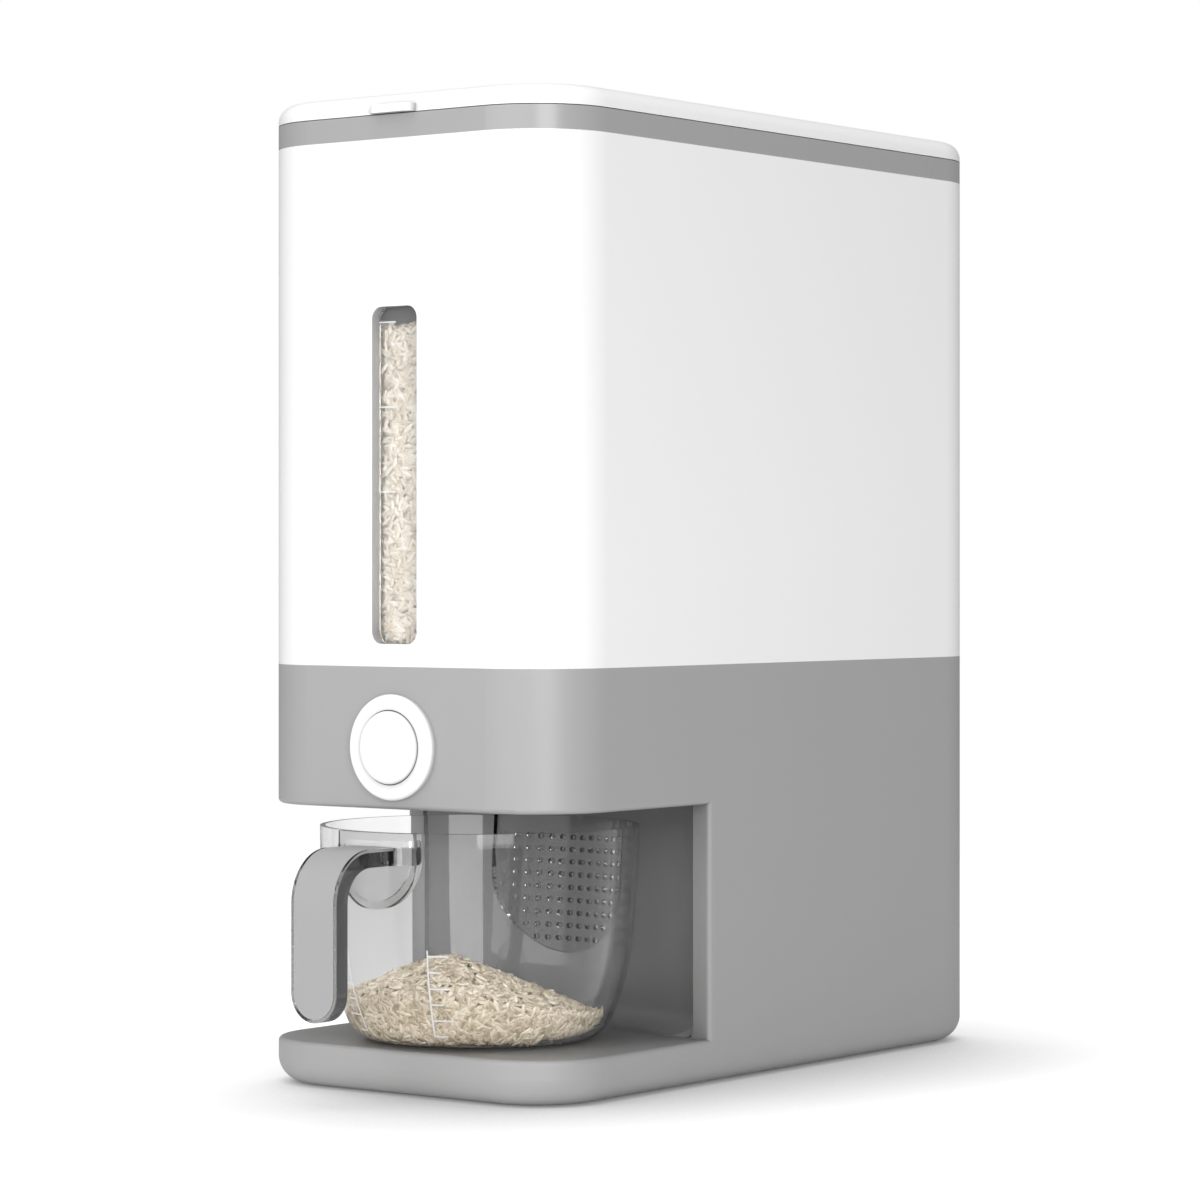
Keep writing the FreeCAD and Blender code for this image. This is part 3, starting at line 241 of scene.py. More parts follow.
# %% [markdown]
# ## The moulded plastics
# The base and its band are a warm grey with a satin finish, as a spark-eroded mould gives. The
# collar is the same grey from a polished mould. The bin and lid are a smooth white. A faint noise
# in the roughness and a very shallow bump keep the large walls from looking computed.
#
# Little light gets into the bay, the window's slot and the groove round the button. The few lamps
# of a small studio still leave them too light, so there the colour itself turns towards a darker
# one, by how much of the open air a point can see.

# %% Grey, white and the plain inner plastics
SHEEN_WAVES = 18.0
SHEEN_SPREAD = 0.03
GRAIN_WAVES = 2600.0
GRAIN_DEPTH = 0.04 * MM
PLASTIC_INDEX = 1.5
BAY_REACH = 110 * MM
SLOT_REACH = 20 * MM
GROOVE_REACH = 3 * MM


def moulded(name, colour, roughness, grain, painted_shade=None, reach=BAY_REACH, alone=True):
    """A moulded plastic, turned towards a painted shade where something stands within reach."""
    tree = new_material(name)
    if painted_shade:
        open_air = tree.openness(reach, alone)
        colour = tree.mix(open_air * (open_air * 0.5 + 0.5), painted_shade, colour)
    tree.plastic(
        Base_Color=colour,
        Roughness=roughness - SHEEN_SPREAD + tree.noise(SHEEN_WAVES) * (2 * SHEEN_SPREAD),
        Normal=tree.bump(tree.noise(GRAIN_WAVES), grain, GRAIN_DEPTH),
        IOR=PLASTIC_INDEX,
    )
    return tree.holder


GREY = rgb(0.365, 0.365, 0.365)
# The dark greys and the dark white below are painted shade for the bay, the slot and the groove.
GREY_PAINTED_SHADE = rgb(0.04, 0.04, 0.04)
BAY_SHADE_GREY = rgb(0.17, 0.17, 0.17)
WHITE = rgb(0.90, 0.90, 0.90)
WHITE_PAINTED_SHADE = rgb(0.1, 0.1, 0.1)
INNER_WHITE = rgb(0.70, 0.70, 0.69)
grey_plastic = moulded("satin grey", GREY, 0.42, 0.25, GREY_PAINTED_SHADE)
# The wall at the back of the bay gets a darker grey, as painted shade.
bay_shade_plastic = moulded("bay grey", BAY_SHADE_GREY, 0.42, 0.25)
collar_plastic = moulded("polished grey", GREY, 0.26, 0.05)
white_plastic = moulded("smooth white", WHITE, 0.32, 0.08, WHITE_PAINTED_SHADE, SLOT_REACH, False)
inner_plastic = moulded("inner white", INNER_WHITE, 0.45, 0.15)
button_white = moulded("button white", WHITE, 0.26, 0.05, WHITE_PAINTED_SHADE, GROOVE_REACH, False)
plastics = (grey_plastic, bay_shade_plastic, collar_plastic, white_plastic, inner_plastic, button_white)
print("moulded plastics:", [plastic.name for plastic in plastics])

# %% [markdown]
# ## Rubber, silicone and steel
# The pads and seals are matt and soft. The springs and hinge pins are drawn steel wire, which the
# die leaves bright but not quite even, so a fine noise goes into its roughness.

# %% Rubber, silicone and steel
STEEL_WAVES = 900.0
pad_rubber = moulded("pad rubber", rgb(0.02, 0.02, 0.02), 0.75, 0.4)
silicone = moulded("silicone", rgb(0.62, 0.62, 0.62), 0.6, 0.1)
steel_tree = new_material("drawn steel")
steel_tree.plastic(
    Base_Color=rgb(0.62, 0.61, 0.60),
    Metallic=1.0,
    Roughness=0.24 + steel_tree.noise(STEEL_WAVES) * 0.08,
)
steel = steel_tree.holder
print("soft and metal:", [material.name for material in (pad_rubber, silicone, steel)])

# %% [markdown]
# ## The clear cup
# The cup is moulded in a slightly smoky clear plastic. Its solid has a real inner and outer face,
# so a transmitting shader bends light as the real wall does. The smoke is an absorbing volume, so a
# thick wall such as the handle's comes out darker than a thin one, as tinted plastic does. Light on
# its way to a lamp is let straight through, or the rice inside would stand in a black shadow.

# %% Clear plastics
RIPPLE_WAVES = 25.0
RIPPLE = 0.01
SMOKE_COLOUR = rgb(0.31, 0.31, 0.31)
ACRYLIC_INDEX = 1.47
PANE_INDEX = 1.3


def clear(name, colour, index, smoke, gloss=1.0, clearness=1.0, roughness=0.0):
    """A clear plastic.

    Smoke is how much it absorbs per metre, and gloss how much of its mirror image shows where it
    is seen straight on.
    """
    tree = new_material(name)
    solid = tree.plastic(
        Base_Color=colour,
        Roughness=roughness + tree.noise(RIPPLE_WAVES) * RIPPLE,
        IOR=index,
        Specular_Tint=rgb(gloss, gloss, gloss),
        Transmission_Weight=clearness,
    )
    shadow_ray = tree.node("ShaderNodeLightPath", output="Is Shadow Ray")
    through = tree.node("ShaderNodeBsdfTransparent", {}, {"Color": colour})
    tree.show(tree.blend(shadow_ray, solid, through))
    inputs = {"Color": SMOKE_COLOUR, "Density": smoke}
    tree.show(tree.node("ShaderNodeVolumeAbsorption", {}, inputs), "Volume")
    return tree.holder


CUP_TINT = rgb(0.985, 0.985, 0.985)
HANDLE_TINT = rgb(0.93, 0.93, 0.93)
STRAINER_TINT = rgb(0.95, 0.95, 0.95)
PANE_TINT = rgb(0.89, 0.895, 0.90)
cup_clear = clear("smoky clear", CUP_TINT, ACRYLIC_INDEX, 18.0, gloss=0.5)
handle_clear = clear("smoky handle", HANDLE_TINT, ACRYLIC_INDEX, 140.0, roughness=0.025)
strainer_clear = clear("smoky strainer", STRAINER_TINT, ACRYLIC_INDEX, 160.0, gloss=0.3)
pane_clear = clear("window clear", PANE_TINT, PANE_INDEX, 5.0, clearness=0.91)
plastics = (cup_clear, handle_clear, strainer_clear, pane_clear)
print("clear plastics:", [plastic.name for plastic in plastics])

# %% [markdown]
# ## A finish for every piece
# A product like this is put together from parts of a few materials. A table says which piece wears
# which, so that none is forgotten. The wall at the back of the bay lies in the shade and gets a
# darker grey of its own, as painted shade.

# %% Put the materials on the solid model's pieces
FINISHES = {
    "base_housing": grey_plastic,
    "bay_back": bay_shade_plastic,
    "base_cover": grey_plastic,
    "collar_ring": collar_plastic,
    "handle_inlay": grey_plastic,
    "bin_shell": white_plastic,
    "lid": white_plastic,
    "button_bezel": button_white,
    "button_cap": button_white,
    "hopper": inner_plastic,
    "gate_tray": inner_plastic,
    "gate_cover": inner_plastic,
    "gate_slider": inner_plastic,
    "lid_liner": inner_plastic,
    "throat_gasket": silicone,
    "lid_seal": silicone,
    "return_spring_left": steel,
    "return_spring_right": steel,
    "hinge_pin_left": steel,
    "hinge_pin_right": steel,
    "foot_front_left": pad_rubber,
    "foot_front_right": pad_rubber,
    "foot_rear_left": pad_rubber,
    "foot_rear_right": pad_rubber,
    "measuring_cup": cup_clear,
    "cup_strainer": strainer_clear,
    "cup_handle": handle_clear,
    "window_pane": pane_clear,
}
for node, material in FINISHES.items():
    wear(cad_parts[node], material)
print("pieces with a finish:", len(FINISHES))

# %% [markdown]
# ## Rice
# Short-grain rice is cream, chalky in places and a little shiny. No two grains are alike, so each
# loose grain of a mesh gets a shade of its own, and a fine noise adds the chalky spots.
#
# The grains lie on a closed core that fills the heap. It is darker than the grains and gets cells
# about as large as a grain, with dark borders, all painted shade of the gaps between grains, so
# that it reads as more rice wherever a gap shows it. The rice in the cup is given darker colours
# than the rice in the bin, as painted shade, because it stands deep in the shade of the band.

# %% Rice materials
CHALK_WAVES = 300.0
CHALK_SHARE = 0.8
SHADE_SHARE = 0.8
SHADE_LOWEST = 0.1
HUSK_WAVES = 700.0
RICE_INDEX = 1.45
CELLS = 330.0
CELL_DEPTH = 1.2 * MM
BORDER_SHARPNESS = 3.0


def rice_material(name, dark, light):
    """Loose grains, each with its own shade between dark and light."""
    tree = new_material(name)
    chalk = (tree.noise(CHALK_WAVES, 0.0) - 0.5) * CHALK_SHARE
    cream = tree.mix(tree.piece_shade() * SHADE_SHARE + SHADE_LOWEST + chalk, dark, light)
    sheen = 0.27 + tree.noise(HUSK_WAVES) * 0.1
    tree.plastic(Base_Color=cream, Roughness=sheen, IOR=RICE_INDEX)
    return tree.holder


def core_material(name, dark, light):
    """Cells with dark borders, painted shade of the gaps, for the core under the grains."""
    tree = new_material(name)
    inputs = {"Vector": tree.place(), "Scale": CELLS}
    settings = {"feature": "DISTANCE_TO_EDGE"}
    edge = tree.node("ShaderNodeTexVoronoi", settings, inputs)
    shade = tree.mix(edge * BORDER_SHARPNESS, dark, light)
    tree.plastic(Base_Color=shade, Roughness=0.6, Normal=tree.bump(edge, 0.6, CELL_DEPTH))
    return tree.holder


# The cores are darker than the grains, and the cup's rice darker than the bin's: painted shade.
bin_grains = rice_material("rice in the bin", rgb(0.60, 0.505, 0.38), rgb(0.84, 0.79, 0.70))
cup_grains_painted_shade = rice_material("rice in the cup", rgb(0.43, 0.355, 0.25), rgb(0.80, 0.725, 0.605))
bin_core_painted_shade = core_material("bin core", rgb(0.42, 0.345, 0.24), rgb(0.70, 0.625, 0.50))
cup_core_painted_shade = core_material("cup core", rgb(0.34, 0.27, 0.18), rgb(0.56, 0.49, 0.38))
rices = (bin_grains, cup_grains_painted_shade, bin_core_painted_shade, cup_core_painted_shade)
print("rice materials:", [rice.name for rice in rices])

# %% [markdown]
# ## Editing by place
# The lesson picks points by where they are, never by their number, so a step still works when the
# shape before it changes. A lathe makes a round body the way a turner thinks of it, as a list of
# radii and heights.

# %% Edit mode helpers
ROUND = 64


def edit(piece, action="DESELECT"):
    """Opens a piece in edit mode with nothing selected, or with everything."""
    pick(piece)
    bpy.ops.object.mode_set(mode="EDIT")
    bpy.ops.mesh.select_mode(type="VERT")
    bpy.ops.mesh.select_all(action=action)


def select_points(piece, wanted):
    """Selects the points for which wanted(place) is true. Edit mode stays open."""
    bpy.ops.object.mode_set(mode="OBJECT")
    for vertex in piece.data.vertices:
        vertex.select = wanted(vertex.co)
    bpy.ops.object.mode_set(mode="EDIT")


def close(piece):
    """Leaves edit mode and moves the piece's place into its mesh."""
    bpy.ops.object.mode_set(mode="OBJECT")
    return settle(piece)


def lathe(name, rings, middle):
    """A closed round body from (radius, height) rings, from the lowest one up."""
    deselect()
    radius, height = rings[0]
    bpy.ops.mesh.primitive_circle_add(
        vertices=ROUND, radius=radius, fill_type="NGON", location=(middle[0], middle[1], height)
    )
    piece = settle(bpy.context.object)
    piece.name = name
    edit(piece, "SELECT")
    for next_radius, next_height in rings[1:]:
        lift = {"value": (0.0, 0.0, next_height - height)}
        bpy.ops.mesh.extrude_region_move(TRANSFORM_OT_translate=lift)
        grow = next_radius / radius
        centre = (middle[0], middle[1], next_height)
        bpy.ops.transform.resize(value=(grow, grow, 1.0), center_override=centre)
        radius, height = next_radius, next_height
    bpy.ops.mesh.select_all(action="SELECT")
    bpy.ops.mesh.normals_make_consistent(inside=False)
    return close(piece)


# %% [markdown]
# ## Pieces that stand in for solid ones
# The solid model's own pieces are never changed. Where a piece has to be a little different, a copy
# of its mesh is reshaped instead, and takes the place, the body and the material slot of the piece.

# %% A reshaped copy in a piece's place
def copy_of(node, name):
    """A copy of one of the solid model's pieces, free to be reshaped."""
    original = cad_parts[node]
    piece = bpy.data.objects.new(name, original.data.copy())
    bpy.context.collection.objects.link(piece)
    piece.matrix_world = original.matrix_world
    return settle(piece)


def stand_in(piece, node, body):
    """Puts a piece in the place of one of the solid model's pieces."""
    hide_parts(node)
    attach(piece, body)


# %% [markdown]
# ## The handle's inlay
# The grey inlay is pressed into a pocket of the clear handle. In the solid model the two touch face
# to face, and a ray that meets both faces at once can slip inside the inlay and come back black. So
# the inlay is made a few hundredths of a millimetre smaller all round, as a pressed-in part is
# before it is pressed in.

# %% The inlay, eased in its pocket
EASE = 0.04 * MM
SAME_POINT = 0.0001 * MM


def eased_inlay():
    """The inlay, with its points merged, its faces moved in and its shading worked out anew."""
    piece = copy_of("handle_inlay", "eased_inlay")
    edit(piece, "SELECT")
    bpy.ops.mesh.remove_doubles(threshold=SAME_POINT)
    bpy.ops.transform.shrink_fatten(value=-EASE, use_even_offset=True)
    close(piece)
    bpy.ops.mesh.customdata_custom_splitnormals_clear()
    smooth(piece, 30)
    stand_in(piece, "handle_inlay", "cup")
    return piece


inlay = eased_inlay()
print("inlay:", [round(side / MM, 2) for side in inlay.dimensions])

# %% [markdown]
# ## The return springs
# Two springs of drawn wire push the gate and the button back to the front. Each is pressed between
# the gate and a wall behind it, so it shortens by as much as the button goes in. The solid model
# holds them at rest. A copy of each takes its place, fixed to the body, and stays at rest.


def wound_spring(side):
    """A copy of the spring on one side, in its place."""
    node = "return_spring_" + side
    piece = copy_of(node, "wound_spring_" + side)
    stand_in(piece, node, "body")
    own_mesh(piece)


for side in ("left", "right"):
    wound_spring(side)

# %% [markdown]
# ## One grain
# A kernel is a stretched ball, blunted at the end where the germ was and slightly bent. It has few
# faces, because thousands of copies follow.

# %% One grain of rice
GRAIN_LENGTH = 5.8 * MM
GRAIN_WIDTH = 1.8 * MM
GRAIN_FLATNESS = 0.85
GERM_END = 0.4
GERM_CUT = 0.07
GERM_LIFT = 0.12
MIDDLE = 0.1
BEND = 0.06


def make_grain():
    """A ball stretched along X. Its points are moved by shares of its length and width."""
    deselect()
    bpy.ops.mesh.primitive_uv_sphere_add(
        segments=6, ring_count=6, radius=0.5, rotation=(0.0, math.radians(90), 0.0)
    )
    piece = settle(bpy.context.object)
    piece.name = "grain"
    piece.scale = (GRAIN_LENGTH, GRAIN_WIDTH, GRAIN_WIDTH * GRAIN_FLATNESS)
    settle(piece)
    edit(piece)
    select_points(piece, lambda place: place.x > GRAIN_LENGTH * GERM_END)
    cut = (-GRAIN_LENGTH * GERM_CUT, GRAIN_WIDTH * GERM_LIFT, 0.0)
    bpy.ops.transform.translate(value=cut)
    select_points(piece, lambda place: abs(place.x) < GRAIN_LENGTH * MIDDLE)
    bpy.ops.transform.translate(value=(0.0, -GRAIN_WIDTH * BEND, 0.0))
    close(piece)
    smooth(piece, 60)
    return piece


grain = make_grain()
print("faces of a grain:", len(grain.data.polygons))

# %% [markdown]
# ## Scattering grains
# Each grain gets a place on the surface, a random turn in the surface and a small tilt out of it.
# Every copy has its own mesh, and the copies are joined into one piece at the end. The random
# numbers start from a fixed seed, so every run lays the same rice.

# %% A scatter of grains
SMALLEST_GRAIN = 0.82
LARGEST_GRAIN = 1.1


def scatter(name, places, material, body, seed):
    """Copies the grain to each (place, normal, tilt), joins the copies and fixes them to a body."""
    draw = random.Random(seed)
    copies = []
    for place, normal, tilt in places:
        copy = grain.copy()
        copy.data = grain.data.copy()
        bpy.context.collection.objects.link(copy)
        turn = normal.to_track_quat("Z", "Y").to_matrix().to_4x4()
        spin = Matrix.Rotation(draw.uniform(0.0, math.tau), 4, "Z")
        lean = Matrix.Rotation(draw.gauss(0.0, tilt), 4, "Y")
        size = Matrix.Scale(draw.uniform(SMALLEST_GRAIN, LARGEST_GRAIN), 4)
        copy.matrix_world = Matrix.Translation(place) @ turn @ spin @ lean @ size
        copies.append(copy)
    deselect()
    for copy in copies:
        copy.select_set(True)
    bpy.context.view_layer.objects.active = copies[0]
    bpy.ops.object.join()
    whole = settle(bpy.context.object)
    whole.name = name
    wear(whole, material)
    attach(whole, body)
    print(name, "grains:", len(places), "faces:", len(whole.data.polygons))


# %% [markdown]
# ## Rice in the bin
# The bin is nearly full. The core is a block as wide as the bin, with the four slopes of the hopper
# cut off its lower side, so that it rests on them. A slot in its front leaves room for the window's
# rim and pane. Each slope is given as its rise over its run, from the edge of the throat outwards.

# %% The core of the rice in the bin
FILL_TOP = 283 * MM
GAP = 0.5 * MM
BIN_CORNER = 27.5 * MM
RIM_ROOM = 2 * MM
THROAT_TOP = 133.0 * MM
THROAT_REAR = -112.0 * MM
THROAT_FRONT = -120.0 * MM
THROAT_SIDE = 9.0 * MM
REAR_SLOPE = 0.445
SIDE_SLOPE = 0.82
FRONT_SLOPE = 1.273
pane_low, pane_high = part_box("window_pane")
bin_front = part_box("bin_shell")[0][1]
hopper_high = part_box("hopper")[1]


def cut_below(piece, place, normal):
    """Cuts off everything on the side that the normal points to, and closes the cut."""
    edit(piece, "SELECT")
    bpy.ops.mesh.bisect(
        plane_co=place, plane_no=normal, use_fill=True, clear_outer=True, threshold=SAME_POINT
    )
    close(piece)


def bin_core():
    """A block with the bin's rounded corners, cut to the hopper's four slopes."""
    deselect()
    height = FILL_TOP - THROAT_TOP
    bpy.ops.mesh.primitive_cube_add(size=1.0, location=(0.0, 0.0, THROAT_TOP + height / 2))
    core = bpy.context.object
    core.name = "bin_rice"
    core.scale = (2 * hopper_high[0] - 2 * GAP, 2 * hopper_high[1] - 2 * GAP, height)
    settle(core)
    edit(core)
    bpy.ops.mesh.select_mode(type="EDGE")
    bpy.ops.object.mode_set(mode="OBJECT")
    points = core.data.vertices
    for edge in core.data.edges:
        ends = [points[number].co for number in edge.vertices]
        edge.select = abs(ends[0].z - ends[1].z) > height / 2
    bpy.ops.object.mode_set(mode="EDIT")
    bpy.ops.mesh.bevel(offset=BIN_CORNER, segments=6, affect="EDGES")
    close(core)
    for x, y, slope_x, slope_y in (
        (0.0, THROAT_REAR, 0.0, REAR_SLOPE),
        (0.0, THROAT_FRONT, 0.0, -FRONT_SLOPE),
        (THROAT_SIDE, 0.0, SIDE_SLOPE, 0.0),
        (-THROAT_SIDE, 0.0, -SIDE_SLOPE, 0.0),
    ):
        cut_below(core, Vector((x, y, THROAT_TOP + GAP)), (slope_x, slope_y, -1.0))
    return core


def window_cutter():
    """A block round the window's pane and rim."""
    deselect()
    rear = pane_high[1] + GRAIN_WIDTH * 1.4
    low = Vector((pane_low[0] - RIM_ROOM, bin_front, pane_low[2] - RIM_ROOM))
    high = Vector((pane_high[0] + RIM_ROOM, rear, pane_high[2] + RIM_ROOM))
    bpy.ops.mesh.primitive_cube_add(size=1.0, location=(low + high) / 2)
    cutter = bpy.context.object
    cutter.scale = high - low
    return settle(cutter)


bin_rice = bin_core()
cutter = window_cutter()
apply_modifier(bin_rice, "BOOLEAN", operation="DIFFERENCE", object=cutter, solver="EXACT")
bpy.data.objects.remove(cutter)
wear(bin_rice, bin_core_painted_shade)
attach(bin_rice, "body")
print("core of the bin:", [round(side / MM, 1) for side in bin_rice.dimensions])

# %% [markdown]
# ## Grains in the bin
# Behind the window the grains press flat against the pane, in three layers. A thinner scatter lies
# on top of the rice, where it is seen with the lid open.

# %% Grains at the window and on top
WINDOW_LAYERS = 3
LAYER_GRAINS = 520
LAYER_STEP = 0.4
PANE_ROOM = 0.2 * MM
PANE_TILT = 0.1
TOP_GRAINS = 3200
TOP_HALF_X = 66 * MM
TOP_HALF_Y = 138 * MM
TOP_CORNER = 24 * MM
CORNER_X = 42 * MM
CORNER_Y = 116 * MM
TOP_TILT = 0.2


def window_places(seed):
    """Grains in upright layers behind the pane."""
    draw = random.Random(seed)
    half = pane_high[0] - 1.2 * MM
    places = []
    for layer in range(WINDOW_LAYERS):
        depth = pane_high[1] + PANE_ROOM + GRAIN_WIDTH * (0.5 + LAYER_STEP * layer)
        for _ in range(LAYER_GRAINS):
            x = draw.uniform(-half, half)
            z = draw.uniform(pane_low[2] + 3.0 * MM, FILL_TOP - 1.0 * MM)
            places.append((Vector((x, depth, z)), Vector((0.0, -1.0, 0.0)), PANE_TILT))
    return places


def top_places(seed):
    """Grains that lie on top, inside the bin's rounded corners."""
    draw = random.Random(seed)
    places = []
    while len(places) < TOP_GRAINS:
        x = draw.uniform(-TOP_HALF_X, TOP_HALF_X)
        y = draw.uniform(-TOP_HALF_Y, TOP_HALF_Y)
        corner = math.hypot(max(abs(x) - CORNER_X, 0.0), max(abs(y) - CORNER_Y, 0.0))
        if corner < TOP_CORNER:
            z = FILL_TOP + draw.uniform(-0.3, 0.6) * MM
            places.append((Vector((x, y, z)), Vector((0.0, 0.0, 1.0)), TOP_TILT))
    return places


scatter("window_rice", window_places(5), bin_grains, "body", 6)
scatter("top_rice", top_places(7), bin_grains, "body", 8)

# %% [markdown]
# ## The heap in the cup
# Rice that runs from a nozzle piles up as a cone under it. The nozzle is near the front of the cup,
# so the heap leans on the front wall and runs out on the floor at the back. Its core is such a cone
# cut to the inside of the cup. The cup's own wall is measured by a ray from its axis, so the heap
# fits whatever shape the cup has.

# %% The core of the heap
APEX_Y = -117.0 * MM
APEX_TOP = 49.0 * MM
APEX_ROUND = 7.0 * MM
HEAP_SLOPE = 0.43
GRAIN_ROOM = 1.2 * MM
CONE_REACH = 120
ROOM_STEPS = 18
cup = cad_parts["measuring_cup"]
cup_low, cup_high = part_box("measuring_cup")
CUP_Y = (cup_low[1] + cup_high[1]) / 2
CUP_FLOOR = cup_low[2] + 2.0 * MM


def inner_radius(height):
    """The inside of the cup's wall, met by a ray from the cup's axis."""
    start = Vector((0.0, CUP_Y, height))
    hit = cup.ray_cast(start, Vector((1.0, 0.0, 0.0)))
    return hit[1].x


def heap_top(away):
    """Height of the heap at a distance from its apex."""
    return APEX_TOP - HEAP_SLOPE * (math.hypot(away, APEX_ROUND) - APEX_ROUND)


def heap_core():
    """The cone of the heap, cut to the room inside the cup, with space left for loose grains."""
    cone_rings = [
        (away * MM, heap_top(away * MM) - GRAIN_ROOM) for away in range(CONE_REACH, 0, -6)
    ]
    cone_rings.append((0.5 * MM, heap_top(0.0) - GRAIN_ROOM))
    cone = lathe("heap_core", cone_rings, (0.0, APEX_Y))
    heights = [CUP_FLOOR + GAP + step * 2.0 * MM for step in range(ROOM_STEPS)]
    room_rings = [(inner_radius(height) - GRAIN_ROOM, height) for height in heights]
    room = lathe("cup_room", room_rings, (0.0, CUP_Y))
    apply_modifier(cone, "BOOLEAN", operation="INTERSECT", object=room, solver="EXACT")
    bpy.data.objects.remove(room)
    smooth(cone, 30)
    wear(cone, cup_core_painted_shade)
    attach(cone, "cup")
    return cone


cup_core = heap_core()
print("core of the heap:", [round(side / MM, 1) for side in cup_core.dimensions])
print("inside of the cup at 30 mm:", round(inner_radius(30 * MM) / MM, 2))

# %% [markdown]
# ## Grains in the cup
# Some grains lie on the open slope of the heap, along it. The others press against the cup's clear
# wall, where they are seen best, so they lie flat on it. A point that would come too near to the
# floor, to the wall or above the heap is drawn again.

# %% Grains in the cup
HEAP_GRAINS = 2700
HEAP_HALF = 58 * MM
HEAP_TILT = 0.22
FLOOR_ROOM = 1.3 * MM
SIDE_ROOM = 2.4 * MM
WALL_GRAINS = 1700
WALL_TOP = 40 * MM
WALL_ROOM = 1.7 * MM
WALL_TILT = 0.08


def heap_places(seed):
    """Grains on the open slope of the heap."""
    draw = random.Random(seed)
    places = []
    while len(places) < HEAP_GRAINS:
        x = draw.uniform(-HEAP_HALF, HEAP_HALF)
        y = CUP_Y + draw.uniform(-HEAP_HALF, HEAP_HALF)
        away = math.hypot(x, y - APEX_Y)
        z = heap_top(away) - draw.uniform(-0.2, 1.0) * MM
        if z < CUP_FLOOR + FLOOR_ROOM:
            continue
        if math.hypot(x, y - CUP_Y) > inner_radius(z) - SIDE_ROOM:
            continue
        steep = HEAP_SLOPE / math.hypot(away, APEX_ROUND)
        normal = Vector((x * steep, (y - APEX_Y) * steep, 1.0)).normalized()
        places.append((Vector((x, y, z)), normal, HEAP_TILT))
    return places


def wall_places(seed):
    """Grains that press against the cup's wall, from the floor up to the heap."""
    draw = random.Random(seed)
    places = []
    while len(places) < WALL_GRAINS:
        turn = draw.uniform(0.0, math.tau)
        z = draw.uniform(CUP_FLOOR + FLOOR_ROOM, WALL_TOP)
        radius = inner_radius(z) - WALL_ROOM
        x, y = radius * math.sin(turn), CUP_Y - radius * math.cos(turn)
        if z > heap_top(math.hypot(x, y - APEX_Y)):
            continue
        lean = (inner_radius(z + MM) - inner_radius(z - MM)) / (2 * MM)
        normal = Vector((math.sin(turn), -math.cos(turn), -lean)).normalized()
        places.append((Vector((x, y, z)), normal, WALL_TILT))
    return places


scatter("heap_rice", heap_places(11), cup_grains_painted_shade, "cup", 12)
scatter("wall_rice", wall_places(13), cup_grains_painted_shade, "cup", 14)
bpy.data.objects.remove(grain)

# %% [markdown]
# ## Printed scales
# The cup has a printed scale on each side of its front, and the window has three level marks. Each
# mark is a thin strip. The cup's strips start in front of the cup, are pressed onto its curved wall
# with a Shrinkwrap, and then get the thickness of a layer of ink.

# %% The scales
INK = rgb(0.75, 0.75, 0.75)
INK_DEPTH = 0.12 * MM
INK_LIFT = 0.05 * MM
LINE = 0.55 * MM
SCALE_LOW = cup_low[2] + 5.3 * MM
SCALE_STEP = 6.0 * MM
SCALE_STEPS = 5.4
TICKS = 6
SHORT_TICK = 5.0 * MM
LONG_TICK = 8.0 * MM
PRESS_FROM = 64 * MM
SCALE_TURN = 20.0
LEVELS = (221.4 * MM, 252.6 * MM, 283.8 * MM)
LEVEL_LEFT = -10.6 * MM
ink_tree = new_material("white print")
ink_tree.plastic(Base_Color=INK, Roughness=0.5 + ink_tree.noise(400.0) * 0.1)
ink = ink_tree.holder


def strip(left, low, width, height, steps):
    """A flat upright strip at the front, ready to be pressed onto something."""
    deselect()
    across, along = steps
    bpy.ops.mesh.primitive_grid_add(
        x_subdivisions=across,
        y_subdivisions=along,
        size=1.0,
        rotation=(math.radians(90), 0.0, 0.0),
        location=(left + width / 2, -PRESS_FROM, low + height / 2),
    )
    piece = bpy.context.object
    piece.scale = (width, height, 1.0)
    return settle(piece)


def join(pieces, name):
    """Makes several pieces one."""
    deselect()
    for piece in pieces:
        piece.select_set(True)
    bpy.context.view_layer.objects.active = pieces[0]
    bpy.ops.object.join()
    pieces[0].name = name
    return pieces[0]


def cup_scale(name, turn, side):
    """A line with ticks to one side of it, pressed onto the cup at a turn from its front."""
    pieces = [strip(-LINE / 2, SCALE_LOW, LINE, SCALE_STEPS * SCALE_STEP, (1, 24))]
    for number in range(TICKS):
        length = LONG_TICK if number % 2 else SHORT_TICK
        left = 0.0 if side > 0 else -length
        low = SCALE_LOW + number * SCALE_STEP
        pieces.append(strip(left, low, length, LINE, (8, 1)))
    scale = join(pieces, name)
    scale.location = (0.0, CUP_Y, 0.0)
    scale.rotation_euler = (0.0, 0.0, math.radians(turn))
    apply_modifier(
        scale,
        "SHRINKWRAP",
        target=cup,
        wrap_method="PROJECT",
        use_project_y=True,
        use_positive_direction=True,
        use_negative_direction=False,
        offset=INK_LIFT,
    )
    apply_modifier(scale, "SOLIDIFY", thickness=INK_DEPTH, offset=0.0)
    settle(scale)
    wear(scale, ink)
    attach(scale, "cup")
    return scale


right_scale = cup_scale("scale_right", SCALE_TURN, 1)
left_scale = cup_scale("scale_left", -SCALE_TURN, -1)


def window_marks():
    """Three level marks on the front of the pane."""
    pieces = [strip(LEVEL_LEFT, level, LONG_TICK, LINE, (4, 1)) for level in LEVELS]
    marks = join(pieces, "window_marks")
    marks.location = (0.0, pane_low[1] + PRESS_FROM, 0.0)
    settle(marks)
    apply_modifier(marks, "SOLIDIFY", thickness=INK_DEPTH, offset=0.0)
    wear(marks, ink)
    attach(marks, "body")
    return marks


level_marks = window_marks()
print("scales:", [piece.name for piece in (right_scale, left_scale, level_marks)])

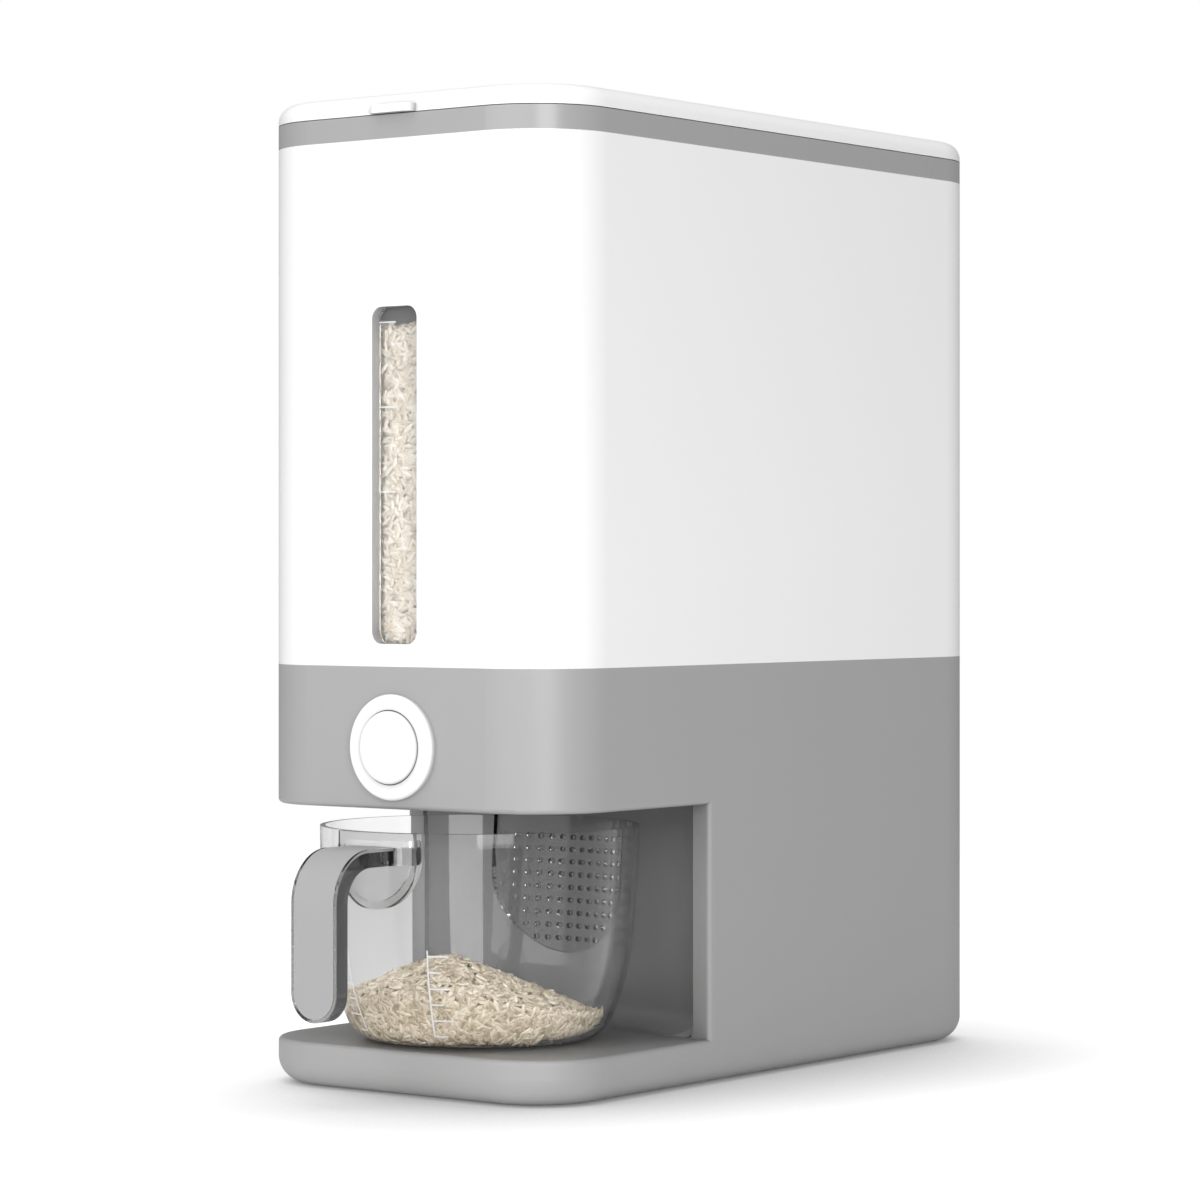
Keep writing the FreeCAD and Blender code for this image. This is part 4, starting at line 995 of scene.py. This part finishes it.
# %% [markdown]
# ## The studio
# The part stands in a white tent: pale light comes from all round. The tent looks pure white to the
# camera and through the clear plastic, and lights the part much more weakly than it looks.
#
# The floor has to end in the same pure white, but still show where the part stands. So the camera
# sees a share of the floor's real light and a share of a white of its own. That white fades near
# the part, by how much open air a point sees towards the light, which is up and to the left and
# rear. So the shade falls to the front and right, as a soft shadow would.

# %% Floor and tent
FLOOR_RADIUS = 1.1
FLOOR_SHARE = 0.65
FLOOR_WHITE = 1.35
FLOOR_REACH = 115 * MM
LIGHT_SIDE = (-0.48, 0.48, 0.734)
TENT = 0.335
BLACK = rgb(0.0, 0.0, 0.0)
PURE_WHITE = rgb(1.0, 1.0, 1.0)


def floor_material():
    """A pale floor. The camera also sees some white of its own, so that its far side is white."""
    tree = new_material("floor")
    # The floor's own white fades near the part: a painted shadow.
    open_air = tree.openness(FLOOR_REACH, False, LIGHT_SIDE)
    shade = tree.mix(open_air, BLACK, PURE_WHITE)
    lit = tree.plastic(Base_Color=rgb(0.90, 0.90, 0.90), Roughness=0.8)
    seen = tree.node("ShaderNodeLightPath", output="Is Camera Ray")
    inputs = {"Color": shade, "Strength": FLOOR_WHITE}
    tree.show(tree.blend(seen * FLOOR_SHARE, lit, tree.node("ShaderNodeEmission", {}, inputs)))
    return tree.holder


deselect()
bpy.ops.mesh.primitive_circle_add(vertices=96, radius=FLOOR_RADIUS, fill_type="NGON")
floor = bpy.context.object
floor.name = "floor"
wear(floor, floor_material())

bpy.context.scene.world = bpy.data.worlds.new("tent")
tent = Tree(bpy.context.scene.world)
camera_ray = tent.node("ShaderNodeLightPath", output="Is Camera Ray")
clear_ray = tent.node("ShaderNodeLightPath", output="Is Transmission Ray")
pale = tent.node("ShaderNodeBackground", {}, {"Color": PURE_WHITE, "Strength": TENT})
white = tent.node("ShaderNodeBackground", {}, {"Color": PURE_WHITE, "Strength": 1.0})
tent.show(tent.blend(camera_ray.larger(clear_ray), pale, white))
print("floor:", floor.name, "and a tent with a light of", TENT)

# %% [markdown]
# ## Lamps
# There are four soft boxes, as in a product studio. A wide one gives the front its extra light, and
# a high one lights the lid and the tray. One at the right draws the soft line of light down the
# rounded corner, and one straight above keeps the lid white.

# %% Lamps
AIM = Vector((0.0, 0.0, 0.18))


def lamp(name, azimuth, elevation, distance, size, power):
    """A soft box aimed at the middle. Azimuth 0 is straight in front, and 90 is on the right."""
    turn, rise = math.radians(azimuth), math.radians(elevation)
    level = Vector((math.sin(turn), -math.cos(turn), 0.0)) * math.cos(rise)
    away = level + Vector((0.0, 0.0, math.sin(rise)))
    data = bpy.data.lights.new(name, "AREA")
    data.shape = "RECTANGLE"
    data.size, data.size_y = size
    data.energy = power
    light = bpy.data.objects.new(name, data)
    bpy.context.collection.objects.link(light)
    light.location = AIM + away * distance
    light.rotation_euler = (-away).to_track_quat("-Z", "Y").to_euler()
    return light


lamps = [
    lamp("front", -3.0, 8.0, 3.0, (3.6, 1.0), 27.5),
    lamp("high", -20.0, 45.0, 3.0, (1.6, 1.2), 15.5),
    lamp("strip", 48.0, 6.0, 2.4, (1.1, 1.4), 29.0),
    lamp("top", 0.0, 85.0, 2.6, (1.2, 1.2), 29.0),
]
print("lamps:", [light.name for light in lamps])

# %% [markdown]
# ## The camera
# A long lens, about 1.6 metres away, sees the front and the right side. The camera looks level, so
# upright edges stay upright. The part is brought to the middle of the picture by shifting the lens,
# and not by tilting the camera.

# %% Camera
PICTURE = 1200
SENSOR = 36.0
AZIMUTH = math.radians(37.055)
DISTANCE = 1.58895
RIGHT_OFFSET = -0.013244
EYE_HEIGHT = 0.19405
FOCAL = 4019.94 / PICTURE * SENSOR
HORIZON = 566.96

across = Vector((math.cos(AZIMUTH), math.sin(AZIMUTH), 0.0))
back = Vector((math.sin(AZIMUTH), -math.cos(AZIMUTH), 0.0))
data = bpy.data.cameras.new("camera")
data.sensor_width = SENSOR
data.lens = FOCAL
data.shift_y = (HORIZON - PICTURE / 2) / PICTURE
camera = bpy.data.objects.new("camera", data)
bpy.context.collection.objects.link(camera)
camera.location = back * DISTANCE + across * RIGHT_OFFSET + Vector((0.0, 0.0, EYE_HEIGHT))
camera.rotation_euler = (math.radians(90.0), 0.0, AZIMUTH)
bpy.context.scene.camera = camera
bpy.context.scene.view_settings.view_transform = "Standard"
print("lens:", round(FOCAL, 2), "mm, from", DISTANCE, "m")
